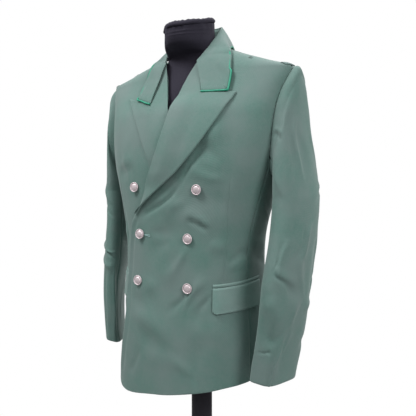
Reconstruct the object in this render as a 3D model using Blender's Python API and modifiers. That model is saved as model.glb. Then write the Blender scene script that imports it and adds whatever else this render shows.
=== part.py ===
"""Double-breasted dress tunic on a limbless dress form with a pole stand. Metres, +Z up."""
import math

import bpy
import bmesh
import numpy as np
from mathutils import Matrix, Vector

# ---- driving sizes ----------------------------------------------------------
HEM_HEIGHT = 0.500          # hem of the jacket above the floor
CLOTH = 0.0020              # wall of every cloth panel
SEAM = 0.0010               # space between two panels at a seam
LAYER = 0.0006              # space between cloth lying on cloth
FLAP_THICKNESS = 0.0022
PIPING_RADIUS = 0.0013
POLE_RADIUS = 0.0235
BASE_RADIUS = 0.180
BASE_THICKNESS = 0.018
REST = 0.0003               # space between a piece and what carries it

# Body of the jacket: level rings. Heights are above the hem.
RING_COLUMNS = ("height", "half_width", "front", "back", "centre_y", "front_power", "back_power")
RINGS = (
    (0.000, 0.1720, 0.1240, 0.1180, -0.030, 2.15, 2.20),
    (0.060, 0.1710, 0.1210, 0.1180, -0.030, 2.15, 2.20),
    (0.120, 0.1700, 0.1180, 0.1170, -0.030, 2.20, 2.20),
    (0.180, 0.1680, 0.1135, 0.1120, -0.029, 2.30, 2.25),
    (0.245, 0.1640, 0.1075, 0.1040, -0.028, 2.40, 2.30),
    (0.300, 0.1630, 0.1040, 0.0970, -0.028, 2.50, 2.30),
    (0.345, 0.1690, 0.1030, 0.0960, -0.027, 2.50, 2.30),
    (0.390, 0.1810, 0.1040, 0.1000, -0.026, 2.50, 2.35),
    (0.440, 0.1960, 0.1050, 0.1070, -0.024, 2.50, 2.40),
    (0.490, 0.2080, 0.1050, 0.1130, -0.023, 2.50, 2.50),
    (0.540, 0.2130, 0.1010, 0.1150, -0.022, 2.55, 2.55),
    (0.590, 0.2170, 0.0900, 0.1110, -0.021, 2.70, 2.60),
    (0.632, 0.2230, 0.0700, 0.0990, -0.021, 2.80, 2.60),
    (0.660, 0.2300, 0.0560, 0.0850, -0.021, 2.70, 2.55),
    (0.678, 0.2320, 0.0490, 0.0760, -0.021, 2.50, 2.50),
    (0.699, 0.1640, 0.0430, 0.0690, -0.021, 2.40, 2.40),
    (0.719, 0.1000, 0.0370, 0.0640, -0.021, 2.30, 2.30),
    (0.733, 0.0770, 0.0340, 0.0620, -0.021, 2.20, 2.20),
    (0.750, 0.0680, 0.0330, 0.0620, -0.021, 2.20, 2.20),
)

# Front panel, one row per level: front edge or roll line, then side seam or armhole.
FRONT_COLUMNS = ("inner_x", "inner_height", "outer_angle", "outer_height")
FRONT_ROWS = (
    (-0.0900, 0.0000, 77.0, 0.000),
    (-0.1055, 0.0060, 77.0, 0.014),
    (-0.1110, 0.0200, 77.0, 0.032),
    (-0.1115, 0.0450, 77.0, 0.056),
    (-0.1105, 0.0900, 77.0, 0.096),
    (-0.1095, 0.1350, 77.0, 0.136),
    (-0.1055, 0.1800, 77.0, 0.176),
    (-0.1035, 0.2250, 77.0, 0.216),
    (-0.1010, 0.2700, 77.0, 0.256),
    (-0.0980, 0.3150, 77.0, 0.296),
    (-0.0940, 0.3600, 77.0, 0.336),
    (-0.0880, 0.3900, 77.0, 0.372),
    (-0.0660, 0.4370, 77.0, 0.412),
    (-0.0440, 0.4860, 77.0, 0.452),
    (-0.0210, 0.5380, 76.0, 0.490),
    (0.0010, 0.5880, 74.6, 0.528),
    (0.0170, 0.6240, 74.2, 0.566),
    (0.0280, 0.6560, 75.0, 0.602),
    (0.0395, 0.6800, 77.0, 0.634),
    (0.0540, 0.6970, 80.5, 0.655),
    (0.0685, 0.7120, 85.0, 0.668),
    (0.0760, 0.7230, 88.0, 0.674),
    (0.0800, 0.7320, 89.2, 0.677),
)

# Rise of the hem from its lowest corner, by angle from each front's own side.
HEM_COLUMNS = ("angle", "left_rise", "right_rise")
HEM = (
    (-45.0, 0.0000, 0.0450),
    (-25.0, 0.0030, 0.0400),
    (0.0, 0.0170, 0.0330),
    (20.0, 0.0300, 0.0320),
    (36.0, 0.0400, 0.0370),
    (51.0, 0.0510, 0.0450),
    (63.0, 0.0570, 0.0520),
    (77.0, 0.0600, 0.0570),
    (180.0, 0.0600, 0.0600),
)
HEM_REACH = 0.280               # height where the rise of the hem has run out
EDGE_FLARE = 0.0070             # the left front's lower edge stands off this far
SHOULDER_DROOP = 0.0070         # the right shoulder hangs this much lower
NECK_DROOP = 0.0060             # the collar's right side sits this much lower

# Back panel, one row per level: side seam or armhole, then centre back.
BACK_COLUMNS = ("outer_angle", "outer_height", "inner_height")
BACK_ROWS = (
    (116.0, 0.000, 0.000),
    (116.0, 0.050, 0.050),
    (116.0, 0.105, 0.108),
    (116.0, 0.160, 0.168),
    (116.0, 0.215, 0.228),
    (116.0, 0.270, 0.288),
    (116.0, 0.325, 0.346),
    (116.0, 0.380, 0.404),
    (116.0, 0.435, 0.462),
    (116.0, 0.490, 0.520),
    (115.5, 0.530, 0.566),
    (114.0, 0.570, 0.610),
    (112.0, 0.608, 0.652),
    (106.0, 0.640, 0.690),
    (98.0, 0.662, 0.718),
    (92.5, 0.673, 0.735),
    (90.8, 0.677, 0.746),
)
NECK_POINT = (90.8, 0.732)      # where the shoulder seam meets the back neckline
NECK_SHARE = 0.5                # share of the back's top edge that is the shoulder seam

# Armhole from the shoulder point, down the front, under the arm and up the back.
ARMHOLE_COLUMNS = ("angle", "height")
ARMHOLE = (
    (90.0, 0.6780),
    (85.0, 0.6680),
    (80.5, 0.6550),
    (77.0, 0.6340),
    (75.0, 0.6020),
    (74.2, 0.5660),
    (74.6, 0.5280),
    (76.6, 0.4940),
    (81.0, 0.4760),
    (89.0, 0.4700),
    (98.0, 0.4700),
    (108.0, 0.4780),
    (116.0, 0.4970),
    (115.5, 0.5300),
    (114.0, 0.5700),
    (112.0, 0.6080),
    (106.0, 0.6400),
    (98.0, 0.6620),
)

# Sleeves from the upper arm to the hem: flat oval rings that hang from the armhole.
SLEEVE_COLUMNS = ("height", "centre_x", "centre_y", "half_depth", "half_thick", "turn", "tilt")
LEFT_SLEEVE = (
    (0.430, 0.2400, -0.0110, 0.0685, 0.0325, 0.0, 0.0),
    (0.395, 0.2410, -0.0160, 0.0680, 0.0325, 0.0, 2.0),
    (0.360, 0.2415, -0.0225, 0.0675, 0.0320, 1.0, 3.0),
    (0.325, 0.2410, -0.0305, 0.0672, 0.0310, 2.0, 4.0),
    (0.290, 0.2400, -0.0385, 0.0670, 0.0305, 3.0, 5.0),
    (0.255, 0.2380, -0.0445, 0.0660, 0.0300, 4.0, 6.0),
    (0.215, 0.2350, -0.0490, 0.0635, 0.0295, 4.0, 6.0),
    (0.175, 0.2305, -0.0530, 0.0602, 0.0282, 4.0, 6.0),
    (0.135, 0.2250, -0.0560, 0.0572, 0.0272, 4.0, 6.0),
    (0.100, 0.2200, -0.0580, 0.0558, 0.0268, 4.0, 6.0),
    (0.067, 0.2160, -0.0590, 0.0555, 0.0266, 4.0, 6.0),
)
RIGHT_SLEEVE = (
    (0.430, 0.2240, -0.0110, 0.0680, 0.0240, 4.0, 0.0),
    (0.395, 0.2235, -0.0160, 0.0670, 0.0240, 9.0, 2.0),
    (0.360, 0.2235, -0.0220, 0.0660, 0.0235, 15.0, 3.0),
    (0.325, 0.2240, -0.0290, 0.0650, 0.0230, 21.0, 4.0),
    (0.290, 0.2260, -0.0365, 0.0640, 0.0230, 26.0, 5.0),
    (0.255, 0.2275, -0.0430, 0.0630, 0.0230, 30.0, 6.0),
    (0.215, 0.2275, -0.0480, 0.0620, 0.0225, 32.0, 6.0),
    (0.175, 0.2250, -0.0520, 0.0600, 0.0220, 33.0, 6.0),
    (0.135, 0.2210, -0.0550, 0.0580, 0.0215, 34.0, 6.0),
    (0.100, 0.2170, -0.0570, 0.0560, 0.0210, 34.0, 6.0),
    (0.070, 0.2120, -0.0580, 0.0550, 0.0210, 34.0, 6.0),
)
UNDER_SLEEVE = (0.78, 1.24)     # under sleeve on the ring, 0 outer edge, 0.5 front, 1 inner
SLEEVE_POWER = (0.62, 0.90)     # section at the cuff, nearly square, and above the elbow
HEAD_HOLLOW = {1: 0.0095, -1: 0.0020}   # cloth falls in below the sleeve head, by side

# Lapel: roll line and outer edge from the low end up, then the top edge with the notch.
LAPEL_COLUMNS = ("roll_x", "roll_height", "edge_x", "edge_height")
LAPEL_ROWS = (
    (-0.0880, 0.3900, -0.0862, 0.3905),
    (-0.0770, 0.4130, -0.0585, 0.4085),
    (-0.0660, 0.4370, -0.0250, 0.4315),
    (-0.0550, 0.4615, 0.0040, 0.4525),
    (-0.0440, 0.4860, 0.0310, 0.4745),
    (-0.0330, 0.5120, 0.0570, 0.5000),
    (-0.0210, 0.5380, 0.0805, 0.5270),
    (-0.0100, 0.5640, 0.1015, 0.5560),
    (0.0010, 0.5880, 0.1210, 0.5850),
    (0.0090, 0.6060, 0.1350, 0.6080),
)
LAPEL_TOP_COLUMNS = ("x", "height")
LAPEL_TOP = ((0.0385, 0.7010), (0.0700, 0.6292), (0.1460, 0.6302))

NOTCH = 0.46                    # share of the top edge that is the gorge seam
LAPEL_STEPS = (0.0, 0.16, 0.31, NOTCH, 0.64, 0.82, 1.0)

# Collar stations from the notch round to centre back: fold line, then outer edge.
COLLAR_COLUMNS = ("fold_x", "fold_y", "fold_height", "edge_x", "edge_y", "edge_height")
COLLAR = (
    (0.0388, -0.0650, 0.7030, 0.0705, -0.0960, 0.6352),
    (0.0422, -0.0640, 0.7065, 0.0890, -0.0930, 0.6370),
    (0.0461, -0.0630, 0.7110, 0.1075, -0.0880, 0.6388),
    (0.0497, -0.0610, 0.7160, 0.1245, -0.0800, 0.6400),
    (0.0543, -0.0565, 0.7245, 0.1205, -0.0700, 0.6560),
    (0.0589, -0.0500, 0.7345, 0.1160, -0.0600, 0.6730),
    (0.0612, -0.0410, 0.7455, 0.1115, -0.0530, 0.6925),
    (0.0617, -0.0300, 0.7566, 0.1055, -0.0470, 0.7125),
    (0.0601, -0.0180, 0.7669, 0.0990, -0.0330, 0.7240),
    (0.0554, -0.0040, 0.7761, 0.0910, 0.0000, 0.7290),
    (0.0470, 0.0110, 0.7825, 0.0755, 0.0280, 0.7300),
    (0.0350, 0.0240, 0.7860, 0.0560, 0.0455, 0.7310),
    (0.0190, 0.0330, 0.7875, 0.0300, 0.0550, 0.7330),
    (0.0000, 0.0360, 0.7880, 0.0000, 0.0580, 0.7345),
)
STAND_COLUMNS = ("base_x", "base_y", "base_height")
STAND = (
    (0.0560, -0.0560, 0.7170),
    (0.0630, -0.0500, 0.7220),
    (0.0690, -0.0420, 0.7270),
    (0.0725, -0.0300, 0.7320),
    (0.0730, -0.0160, 0.7370),
    (0.0695, -0.0010, 0.7410),
    (0.0600, 0.0160, 0.7450),
    (0.0450, 0.0300, 0.7480),
    (0.0245, 0.0400, 0.7500),
    (0.0000, 0.0430, 0.7510),
)
STAND_START = 4                 # first collar station that has a stand below it

BUTTON_COLUMNS = ("name", "x", "height")
BUTTONS = (
    ("right_top", -0.0837, 0.4430),
    ("left_top", 0.0830, 0.4430),
    ("right_middle", -0.0630, 0.3450),
    ("left_middle", 0.0630, 0.3450),
    ("right_low", -0.0650, 0.2460),
    ("left_low", 0.0650, 0.2460),
)

FLAP_FRONT_X = 0.1190
FLAP_BACK_ANGLE = 92.0
FLAP_TOP = (0.2500, 0.2600)     # top line at the front and at the back end
FLAP_DEPTH = 0.0540
JET_DEPTH = 0.0050

# Dress form: closed level rings from the bottom of the torso to the neck.
FORM_COLUMNS = ("height", "half_width", "front", "back", "centre_y", "power")
FORM = (
    (0.098, 0.1380, 0.0880, 0.0880, -0.029, 2.2),
    (0.112, 0.1500, 0.0970, 0.0960, -0.029, 2.2),
    (0.150, 0.1540, 0.0990, 0.0980, -0.029, 2.2),
    (0.190, 0.1530, 0.0980, 0.0960, -0.028, 2.2),
    (0.245, 0.1500, 0.0950, 0.0910, -0.027, 2.2),
    (0.300, 0.1490, 0.0920, 0.0850, -0.027, 2.2),
    (0.345, 0.1560, 0.0925, 0.0855, -0.026, 2.3),
    (0.400, 0.1680, 0.0940, 0.0900, -0.025, 2.3),
    (0.460, 0.1760, 0.0950, 0.0980, -0.023, 2.4),
    (0.520, 0.1800, 0.0940, 0.1030, -0.022, 2.4),
    (0.570, 0.1840, 0.0850, 0.1020, -0.021, 2.5),
    (0.610, 0.1880, 0.0710, 0.0960, -0.021, 2.5),
    (0.650, 0.1960, 0.0540, 0.0820, -0.021, 2.4),
    (0.6810, 0.1930, 0.0400, 0.0660, -0.021, 2.3),
    (0.6917, 0.1690, 0.0360, 0.0580, -0.021, 2.3),
    (0.7120, 0.1060, 0.0300, 0.0500, -0.023, 2.2),
    (0.7200, 0.0700, 0.0290, 0.0480, -0.028, 2.1),
    (0.7300, 0.0545, 0.0420, 0.0490, -0.036, 2.0),
    (0.742, 0.0515, 0.0510, 0.0520, -0.040, 2.0),
    (0.762, 0.0515, 0.0560, 0.0540, -0.041, 2.0),
    (0.781, 0.0520, 0.0570, 0.0550, -0.041, 2.0),
)
FORM_SIDES = 28
NECK_SLOPE = 9.0                # neck end, degrees higher at the back

COLOURS = {
    "cloth": ((0.118, 0.190, 0.170), 0.85, 0.0),
    "piping": ((0.006, 0.230, 0.130), 0.60, 0.0),
    "button_metal": ((0.520, 0.470, 0.480), 0.35, 1.0),
    "form_cover": ((0.012, 0.012, 0.018), 0.90, 0.0),
    "stand_paint": ((0.012, 0.012, 0.014), 0.40, 0.0),
}


# ---- curves and surfaces ----------------------------------------------------
def column(table, names, name):
    return np.array([row[names.index(name)] for row in table], dtype=float)


def smooth(xs, ys, x):
    """Value at x of a smooth curve through the points, with limited overshoot."""
    if x <= xs[0]:
        return float(ys[0])
    if x >= xs[-1]:
        return float(ys[-1])
    i = int(np.searchsorted(xs, x) - 1)
    i = max(0, min(i, len(xs) - 2))
    step = xs[i + 1] - xs[i]
    grade = (ys[i + 1] - ys[i]) / step

    def slope(j):
        if j == 0 or j == len(xs) - 1:
            return grade
        before = (ys[j] - ys[j - 1]) / (xs[j] - xs[j - 1])
        after = (ys[j + 1] - ys[j]) / (xs[j + 1] - xs[j])
        if before * after <= 0.0:
            return 0.0
        return 2.0 * before * after / (before + after)

    t = (x - xs[i]) / step
    a, b = slope(i) * step, slope(i + 1) * step
    return float((2 * t**3 - 3 * t**2 + 1) * ys[i] + (t**3 - 2 * t**2 + t) * a
                 + (3 * t**2 - 2 * t**3) * ys[i + 1] + (t**3 - t**2) * b)


RING_HEIGHTS = column(RINGS, RING_COLUMNS, "height")
RING_VALUES = [column(RINGS, RING_COLUMNS, name) for name in RING_COLUMNS[1:]]


def ring(height):
    return [smooth(RING_HEIGHTS, values, height) for values in RING_VALUES]


def signed_power(value, power):
    return math.copysign(abs(value) ** power, value)


def oval(half_width, front, back, centre_y, front_power, back_power, degrees):
    """Point of a level ring; 0 degrees is centre front and +90 the wearer's left side."""
    side = math.sin(math.radians(degrees))
    ahead = math.cos(math.radians(degrees))
    if abs(ahead) < 1e-9:
        ahead = 0.0
    depth, power = (front, front_power) if ahead >= 0.0 else (back, back_power)
    x = half_width * signed_power(side, 2.0 / power)
    y = centre_y - depth * signed_power(ahead, 2.0 / power)
    return x, y


def skin(degrees, height):
    x, y = oval(*ring(height), degrees)
    return Vector((x, y, HEM_HEIGHT + height))


def normal(degrees, height):
    low = min(max(height, 0.003), 0.747)
    across = skin(degrees + 0.6, low) - skin(degrees - 0.6, low)
    up = skin(degrees, low + 0.003) - skin(degrees, low - 0.003)
    return across.cross(up).normalized()


def body(degrees, height, out=0.0):
    """Point of the jacket's body, moved out along the cloth's normal."""
    return skin(degrees, height) + normal(degrees, height) * out


def angle_at(x, height):
    """Angle on the front of the ring at this height for a distance from the centre line."""
    half_width, _, _, _, power, _ = ring(height)
    share = min(abs(x) / half_width, 1.0)
    return math.copysign(math.degrees(math.asin(share ** (power / 2.0))), x)


def bump(value, centre, reach):
    t = abs(value - centre) / reach
    return 0.0 if t >= 1.0 else (1.0 - t * t) ** 2


def ease(value, low, high):
    t = min(max((value - low) / (high - low), 0.0), 1.0)
    return t * t * (3.0 - 2.0 * t)


def front_rise(x, height, side):
    """How far the outer face of a front lies over the body: the left front laps the right."""
    if side < 0:
        return 0.0
    lap = CLOTH + LAYER + 0.0004
    wide = 1.0 - ease(x, 0.118, 0.150)
    top = 1.0 - ease(height, 0.600, 0.640)
    level = ease(height, 0.440, 0.478) * (1.0 - ease(height, 0.600, 0.640))
    over_lapel = level * (1.0 - ease(x - roll_x(height), 0.022, 0.065))
    flare = EDGE_FLARE * (1.0 - ease(x, -0.115, -0.030)) * (1.0 - ease(height, 0.080, 0.300))
    return lap * wide * top + 0.0055 * over_lapel + flare


def roll_x(height):
    heights = column(LAPEL_ROWS, LAPEL_COLUMNS, "roll_height")
    return smooth(heights, column(LAPEL_ROWS, LAPEL_COLUMNS, "roll_x"), height)


def with_hem(degrees, height, side):
    """Height of a place on a panel once the hem's rise is shared out below the pockets."""
    angles = column(HEM, HEM_COLUMNS, "angle")
    name = "left_rise" if side > 0 else "right_rise"
    rise = smooth(angles, column(HEM, HEM_COLUMNS, name), degrees)
    return height + rise * (1.0 - ease(height, 0.0, HEM_REACH))


def at_row(table, names, position):
    """A row of a table at a position between its rows."""
    places = np.arange(len(table), dtype=float)
    return [smooth(places, column(table, names, name), position) for name in names]


def spread(count):
    return [i / (count - 1) for i in range(count)]


# ---- building ---------------------------------------------------------------
def clear_scene():
    for item in list(bpy.data.objects):
        bpy.data.objects.remove(item, do_unlink=True)
    for item in list(bpy.data.meshes):
        bpy.data.meshes.remove(item)
    for item in list(bpy.data.materials):
        bpy.data.materials.remove(item)


def material(name):
    colour, roughness, metallic = COLOURS[name]
    found = bpy.data.materials.get(name)
    if found is None:
        found = bpy.data.materials.new(name)
        found.use_nodes = True
        shader = found.node_tree.nodes["Principled BSDF"]
        shader.inputs["Base Color"].default_value = (*colour, 1.0)
        shader.inputs["Roughness"].default_value = roughness
        shader.inputs["Metallic"].default_value = metallic
        found.diffuse_color = (*colour, 1.0)
    return found


def add_object(name, mesh, slot):
    item = bpy.data.objects.new(name, mesh)
    COLLECTION.objects.link(item)
    mesh.materials.clear()
    mesh.materials.append(material(slot))
    return item


def settle(item):
    """Replace an object's mesh by the result of its modifiers."""
    graph = bpy.context.evaluated_depsgraph_get()
    mesh = bpy.data.meshes.new_from_object(item.evaluated_get(graph))
    item.modifiers.clear()
    old = item.data
    item.data = mesh
    bpy.data.meshes.remove(old)
    mesh.name = item.name
    return item


def shell(name, grid, slot="cloth", thickness=CLOTH, flip=False):
    """A cloth panel from a grid of points on its outer face, thickened inward."""
    bm = bmesh.new()
    rows = [[bm.verts.new(point) for point in line] for line in grid]
    for low, high in zip(rows, rows[1:]):
        for i in range(len(low) - 1):
            corners = [low[i], low[i + 1], high[i + 1], high[i]]
            bm.faces.new(corners[::-1] if flip else corners)
    mesh = bpy.data.meshes.new(name)
    bm.to_mesh(mesh)
    bm.free()
    item = add_object(name, mesh, slot)
    solid = item.modifiers.new("wall", "SOLIDIFY")
    solid.thickness = thickness
    solid.offset = -1.0
    solid.use_even_offset = False
    settle(item)
    for face in item.data.polygons:
        face.use_smooth = False
    return item


def mirrored(grid, side):
    if side > 0:
        return grid
    return [[Vector((-p.x, p.y, p.z)) for p in line] for line in grid]


def tube(name, points, radius, slot):
    curve = bpy.data.curves.new(name, "CURVE")
    curve.dimensions = "3D"
    curve.bevel_depth = radius
    curve.bevel_resolution = 1
    curve.use_fill_caps = True
    line = curve.splines.new("POLY")
    line.points.add(len(points) - 1)
    for place, point in zip(line.points, points):
        place.co = (*point, 1.0)
    carrier = bpy.data.objects.new(name, curve)
    COLLECTION.objects.link(carrier)
    graph = bpy.context.evaluated_depsgraph_get()
    mesh = bpy.data.meshes.new_from_object(carrier.evaluated_get(graph))
    bpy.data.objects.remove(carrier, do_unlink=True)
    bm = bmesh.new()
    bm.from_mesh(mesh)
    bmesh.ops.remove_doubles(bm, verts=bm.verts, dist=1e-5)
    bm.to_mesh(mesh)
    bm.free()
    return add_object(name, mesh, slot)


def turned(name, profile, steps, slot, matrix=None):
    """A solid of revolution about Z from a profile at +X running top to bottom."""
    mesh = bpy.data.meshes.new(name)
    mesh.from_pydata([(radius, 0.0, z) for radius, z in profile],
                     [(i, i + 1) for i in range(len(profile) - 1)], [])
    item = add_object(name, mesh, slot)
    screw = item.modifiers.new("turn", "SCREW")
    screw.steps = steps
    screw.render_steps = steps
    screw.use_merge_vertices = True
    screw.merge_threshold = 0.00005
    settle(item)
    bm = bmesh.new()
    bm.from_mesh(item.data)
    bmesh.ops.recalc_face_normals(bm, faces=bm.faces)
    bm.to_mesh(item.data)
    bm.free()
    if matrix is not None:
        item.data.transform(matrix)
    return item


def closed_loft(name, rings, slot):
    """A solid through closed rings of equal count, capped at both ends."""
    bm = bmesh.new()
    loops = [[bm.verts.new(point) for point in line] for line in rings]
    count = len(loops[0])
    for low, high in zip(loops, loops[1:]):
        for i in range(count):
            j = (i + 1) % count
            bm.faces.new((low[i], low[j], high[j], high[i]))
    bm.faces.new(loops[0][::-1])
    bm.faces.new(loops[-1])
    bmesh.ops.recalc_face_normals(bm, faces=bm.faces)
    bmesh.ops.triangulate(bm, faces=[face for face in bm.faces if len(face.verts) > 4])
    mesh = bpy.data.meshes.new(name)
    bm.to_mesh(mesh)
    bm.free()
    return add_object(name, mesh, slot)


# ---- jacket body ------------------------------------------------------------
def seam_angle(height, degrees):
    """Angle that a seam's space takes at this place, half of it for each panel."""
    wide = (skin(degrees + 1.0, height) - skin(degrees - 1.0, height)).length / 2.0
    return 0.5 * SEAM / wide


def front_panel(name, side, rows, cols):
    grid = []
    for s in spread(rows):
        place = s * (len(FRONT_ROWS) - 1)
        inner_x, inner_height, outer, outer_height = at_row(FRONT_ROWS, FRONT_COLUMNS, place)
        outer -= seam_angle(outer_height, outer)
        inner = angle_at(inner_x, inner_height)
        line = []
        for t in spread(cols):
            degrees = inner + (outer - inner) * t
            height = inner_height + (outer_height - inner_height) * ease(t, 0.0, 1.0)
            height = with_hem(degrees, height, side)
            x = skin(degrees, height).x
            line.append(body(degrees, height, front_rise(x, height, side)))
        grid.append(line)
    return shell(name, mirrored(grid, side), flip=side < 0)


def side_panel(name, side, rows, cols):
    grid = []
    places = np.array([p[0] for p in ARMHOLE[7:13]])
    tops = np.array([p[1] for p in ARMHOLE[7:13]])
    for s in spread(rows):
        line = []
        for t in spread(cols):
            degrees = 77.0 + (116.0 - 77.0) * t
            gap = seam_angle(0.3, degrees)
            degrees += gap * (1.0 - 2.0 * t)
            top = smooth(places, tops, degrees) - 0.0022
            line.append(body(degrees, with_hem(degrees, top * s, side), 0.0))
        grid.append(line)
    return shell(name, mirrored(grid, side), flip=side < 0)


def back_panel(name, side, rows, cols):
    grid = []
    for s in spread(rows):
        place = s * (len(BACK_ROWS) - 1)
        outer, outer_height, inner_height = at_row(BACK_ROWS, BACK_COLUMNS, place)
        outer += seam_angle(outer_height, outer)
        inner = 180.0 - seam_angle(inner_height, 178.0)
        bend = ease(s, 0.45, 1.0)
        line = []
        for t in spread(cols):
            degrees = outer + (inner - outer) * t
            height = outer_height + (inner_height - outer_height) * ease(t, 0.0, 1.0)
            if t < NECK_SHARE:
                part = t / NECK_SHARE
                top_angle = outer + (NECK_POINT[0] - outer) * part
                top_height = outer_height + (NECK_POINT[1] - outer_height) * part
            else:
                part = (t - NECK_SHARE) / (1.0 - NECK_SHARE)
                top_angle = NECK_POINT[0] + (inner - NECK_POINT[0]) * part
                top_height = NECK_POINT[1] + (inner_height - NECK_POINT[1]) * part
            degrees += (top_angle - degrees) * bend
            height += (top_height - height) * bend ** 2
            line.append(body(degrees, with_hem(degrees, height, side), 0.0))
        grid.append(line)
    return shell(name, mirrored(grid, side), flip=side < 0)


# ---- sleeves ----------------------------------------------------------------
def armhole_point(share):
    """Armhole edge; share 0 shoulder, 0.5 front, 1 under the arm, 1.5 back."""
    points = [body(degrees, height, 0.0) for degrees, height in ARMHOLE]
    points.append(points[0])
    low = 9
    half = points[:low + 1] if share <= 1.0 else points[low:]
    local = share if share <= 1.0 else share - 1.0
    lengths = [0.0]
    for a, b in zip(half, half[1:]):
        lengths.append(lengths[-1] + (b - a).length)
    goal = local * lengths[-1]
    return Vector([smooth(np.array(lengths), np.array([p[k] for p in half]), goal)
                   for k in range(3)])


def sleeve_ring(table, place, share):
    row = dict(zip(SLEEVE_COLUMNS, at_row(table, SLEEVE_COLUMNS, place)))
    angle = math.pi * share
    turn = math.radians(row["turn"])
    low, high = SLEEVE_POWER
    power = low + (high - low) * ease(row["height"], 0.070, 0.300)
    outward = signed_power(math.cos(angle), power) * (row["half_thick"] + CLOTH)
    ahead = signed_power(math.sin(angle), power) * (row["half_depth"] + CLOTH)
    x = row["centre_x"] + outward * math.cos(turn) - ahead * math.sin(turn)
    y = row["centre_y"] - outward * math.sin(turn) - ahead * math.cos(turn)
    rise = ahead * math.tan(math.radians(row["tilt"]))
    return Vector((x, y, HEM_HEIGHT + row["height"] + rise))


def sleeve_head(table, side, share, t):
    """Sleeve cap from the armhole (t 0) to the first ring (t 1)."""
    start = armhole_point(share)
    end = sleeve_ring(table, 0.0, share)
    top = 0.5 + 0.5 * math.cos(math.pi * share)
    fall = start.z - end.z
    away = Vector((1.0, 0.0, -0.04))
    sideways = Vector((0.8, -0.45 if share < 1.0 else 0.45, -0.15))
    beside = abs(math.sin(math.pi * share))
    under = Vector((0.5, 0.0, -0.8))
    lead = away * (0.042 * top) + sideways * (0.022 * beside) + under * (0.007 * (1.0 - top))
    first = start + Vector((0.0013, 0.0, 0.0))
    above = end + Vector((-0.020 * top, 0.0, 0.60 * fall))
    controls = (first, first + lead, above, end)
    weights = ((1 - t)**3, 3 * t * (1 - t)**2, 3 * t * t * (1 - t), t**3)
    point = sum((c * w for c, w in zip(controls, weights)), Vector())
    point.x -= HEAD_HOLLOW[side] * top * bump(t, 0.52, 0.44)
    return point


def sleeve_point(table, side, share, along):
    """Sleeve surface; along 0 armhole, 1 first ring, 2 hem."""
    share = share % 2.0
    if along < 1.0:
        return sleeve_head(table, side, share, along)
    return sleeve_ring(table, (along - 1.0) * (len(table) - 1), share)


def sleeve_piece(name, table, side, shares, levels):
    grid = [[sleeve_point(table, side, share, along) for share in shares] for along in levels]
    return shell(name, mirrored(grid, side), flip=side < 0)


def sleeves():
    levels = [0.0, 0.12, 0.26, 0.42, 0.60, 0.80] + [1.0 + t for t in spread(11)]
    low, high = UNDER_SLEEVE
    gap = 0.0080
    under = [low + gap + (high - low - 2 * gap) * t for t in spread(8)]
    upper = [high + gap + (2.0 + low - high - 2 * gap) * t for t in spread(12)]
    for side, word, table in ((1, "left", LEFT_SLEEVE), (-1, "right", RIGHT_SLEEVE)):
        sleeve_piece(word + "_upper_sleeve", table, side, upper, levels)
        sleeve_piece(word + "_under_sleeve", table, side, under, levels)


# ---- lapels and collar ------------------------------------------------------
def lapel_flat(s, t):
    """Place on the lapel as (x, height); s up the roll line, t from roll to edge."""
    rows = LAPEL_ROWS + ((LAPEL_TOP[0][0], LAPEL_TOP[0][1], LAPEL_TOP[2][0], LAPEL_TOP[2][1]),)
    at = at_row(rows, LAPEL_COLUMNS, s * (len(rows) - 1))
    roll, edge = Vector(at[:2]), Vector(at[2:])
    place = roll.lerp(edge, t)
    top = [Vector(p) for p in LAPEL_TOP]
    if t < NOTCH:
        bent = top[0].lerp(top[1], t / NOTCH)
    else:
        bent = top[1].lerp(top[2], (t - NOTCH) / (1.0 - NOTCH))
    straight = top[0].lerp(top[2], t)
    return place + (bent - straight) * ease(s, 0.30, 1.0) ** 2


def lapel_rise(x, height, side, s, t):
    rest = front_rise(x, height, side) + CLOTH + LAYER
    full = 0.0030 if side > 0 else 0.0010
    belly = full * math.sin(math.pi * min(t * 1.05, 1.0)) * (0.35 + 0.65 * s)
    return rest + belly + 0.0008


def lapel(name, side, rows, start, hidden=None):
    grid = []
    for i in spread(rows):
        s = start + (1.0 - start) * i
        line = []
        for t in LAPEL_STEPS:
            x, height = lapel_flat(s, t)
            if hidden is not None:
                x = max(x, hidden(height))
            rise = lapel_rise(x, height, side, s, t)
            line.append(body(angle_at(x, height), height, rise))
        grid.append(line)
    return shell(name, mirrored(grid, side), flip=side < 0)


def collar_point(place, t):
    """Collar fall; place runs over the stations and t from the fold line to the edge."""
    row = dict(zip(COLLAR_COLUMNS, at_row(COLLAR, COLLAR_COLUMNS, place)))
    fold = Vector((row["fold_x"], row["fold_y"], row["fold_height"]))
    edge = Vector((row["edge_x"], row["edge_y"], row["edge_height"]))
    middle = fold.lerp(edge, 0.42)
    back = ease(place, 5.0, 10.0)
    lift = Vector((edge.x - fold.x, edge.y - fold.y, 0.0)) * (0.02 + 0.20 * back)
    middle += lift + Vector((0.0, 0.0, 0.003))
    point = fold * (1 - t)**2 + middle * (2 * t * (1 - t)) + edge * t * t
    height = min(point.z, 0.712)
    rest = skin(angle_at(point.x, height), height).y
    limit = rest - (CLOTH + LAYER + CLOTH + 0.0026 + 0.003 * math.sin(math.pi * t))
    share = (1.0 - ease(place, 6.0, 8.0)) * (1.0 - ease(point.z, 0.700, 0.730))
    if point.y > limit:
        point.y += (limit - point.y) * share
    point.z += HEM_HEIGHT
    return point


def rim(edge, inner, distance):
    """Points beside an edge, outward in the cloth's own plane, with mitred corners."""
    ways = []
    for i in range(len(edge) - 1):
        along = (edge[i + 1] - edge[i]).normalized()
        out = (edge[i] + edge[i + 1] - inner[i] - inner[i + 1]) / 2.0
        ways.append((out - along * out.dot(along)).normalized())
    result = []
    for i, point in enumerate(edge):
        before, after = ways[max(i - 1, 0)], ways[min(i, len(ways) - 1)]
        result.append(point + (before + after) / (1.0 + before.dot(after)) * distance)
    return result


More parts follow.
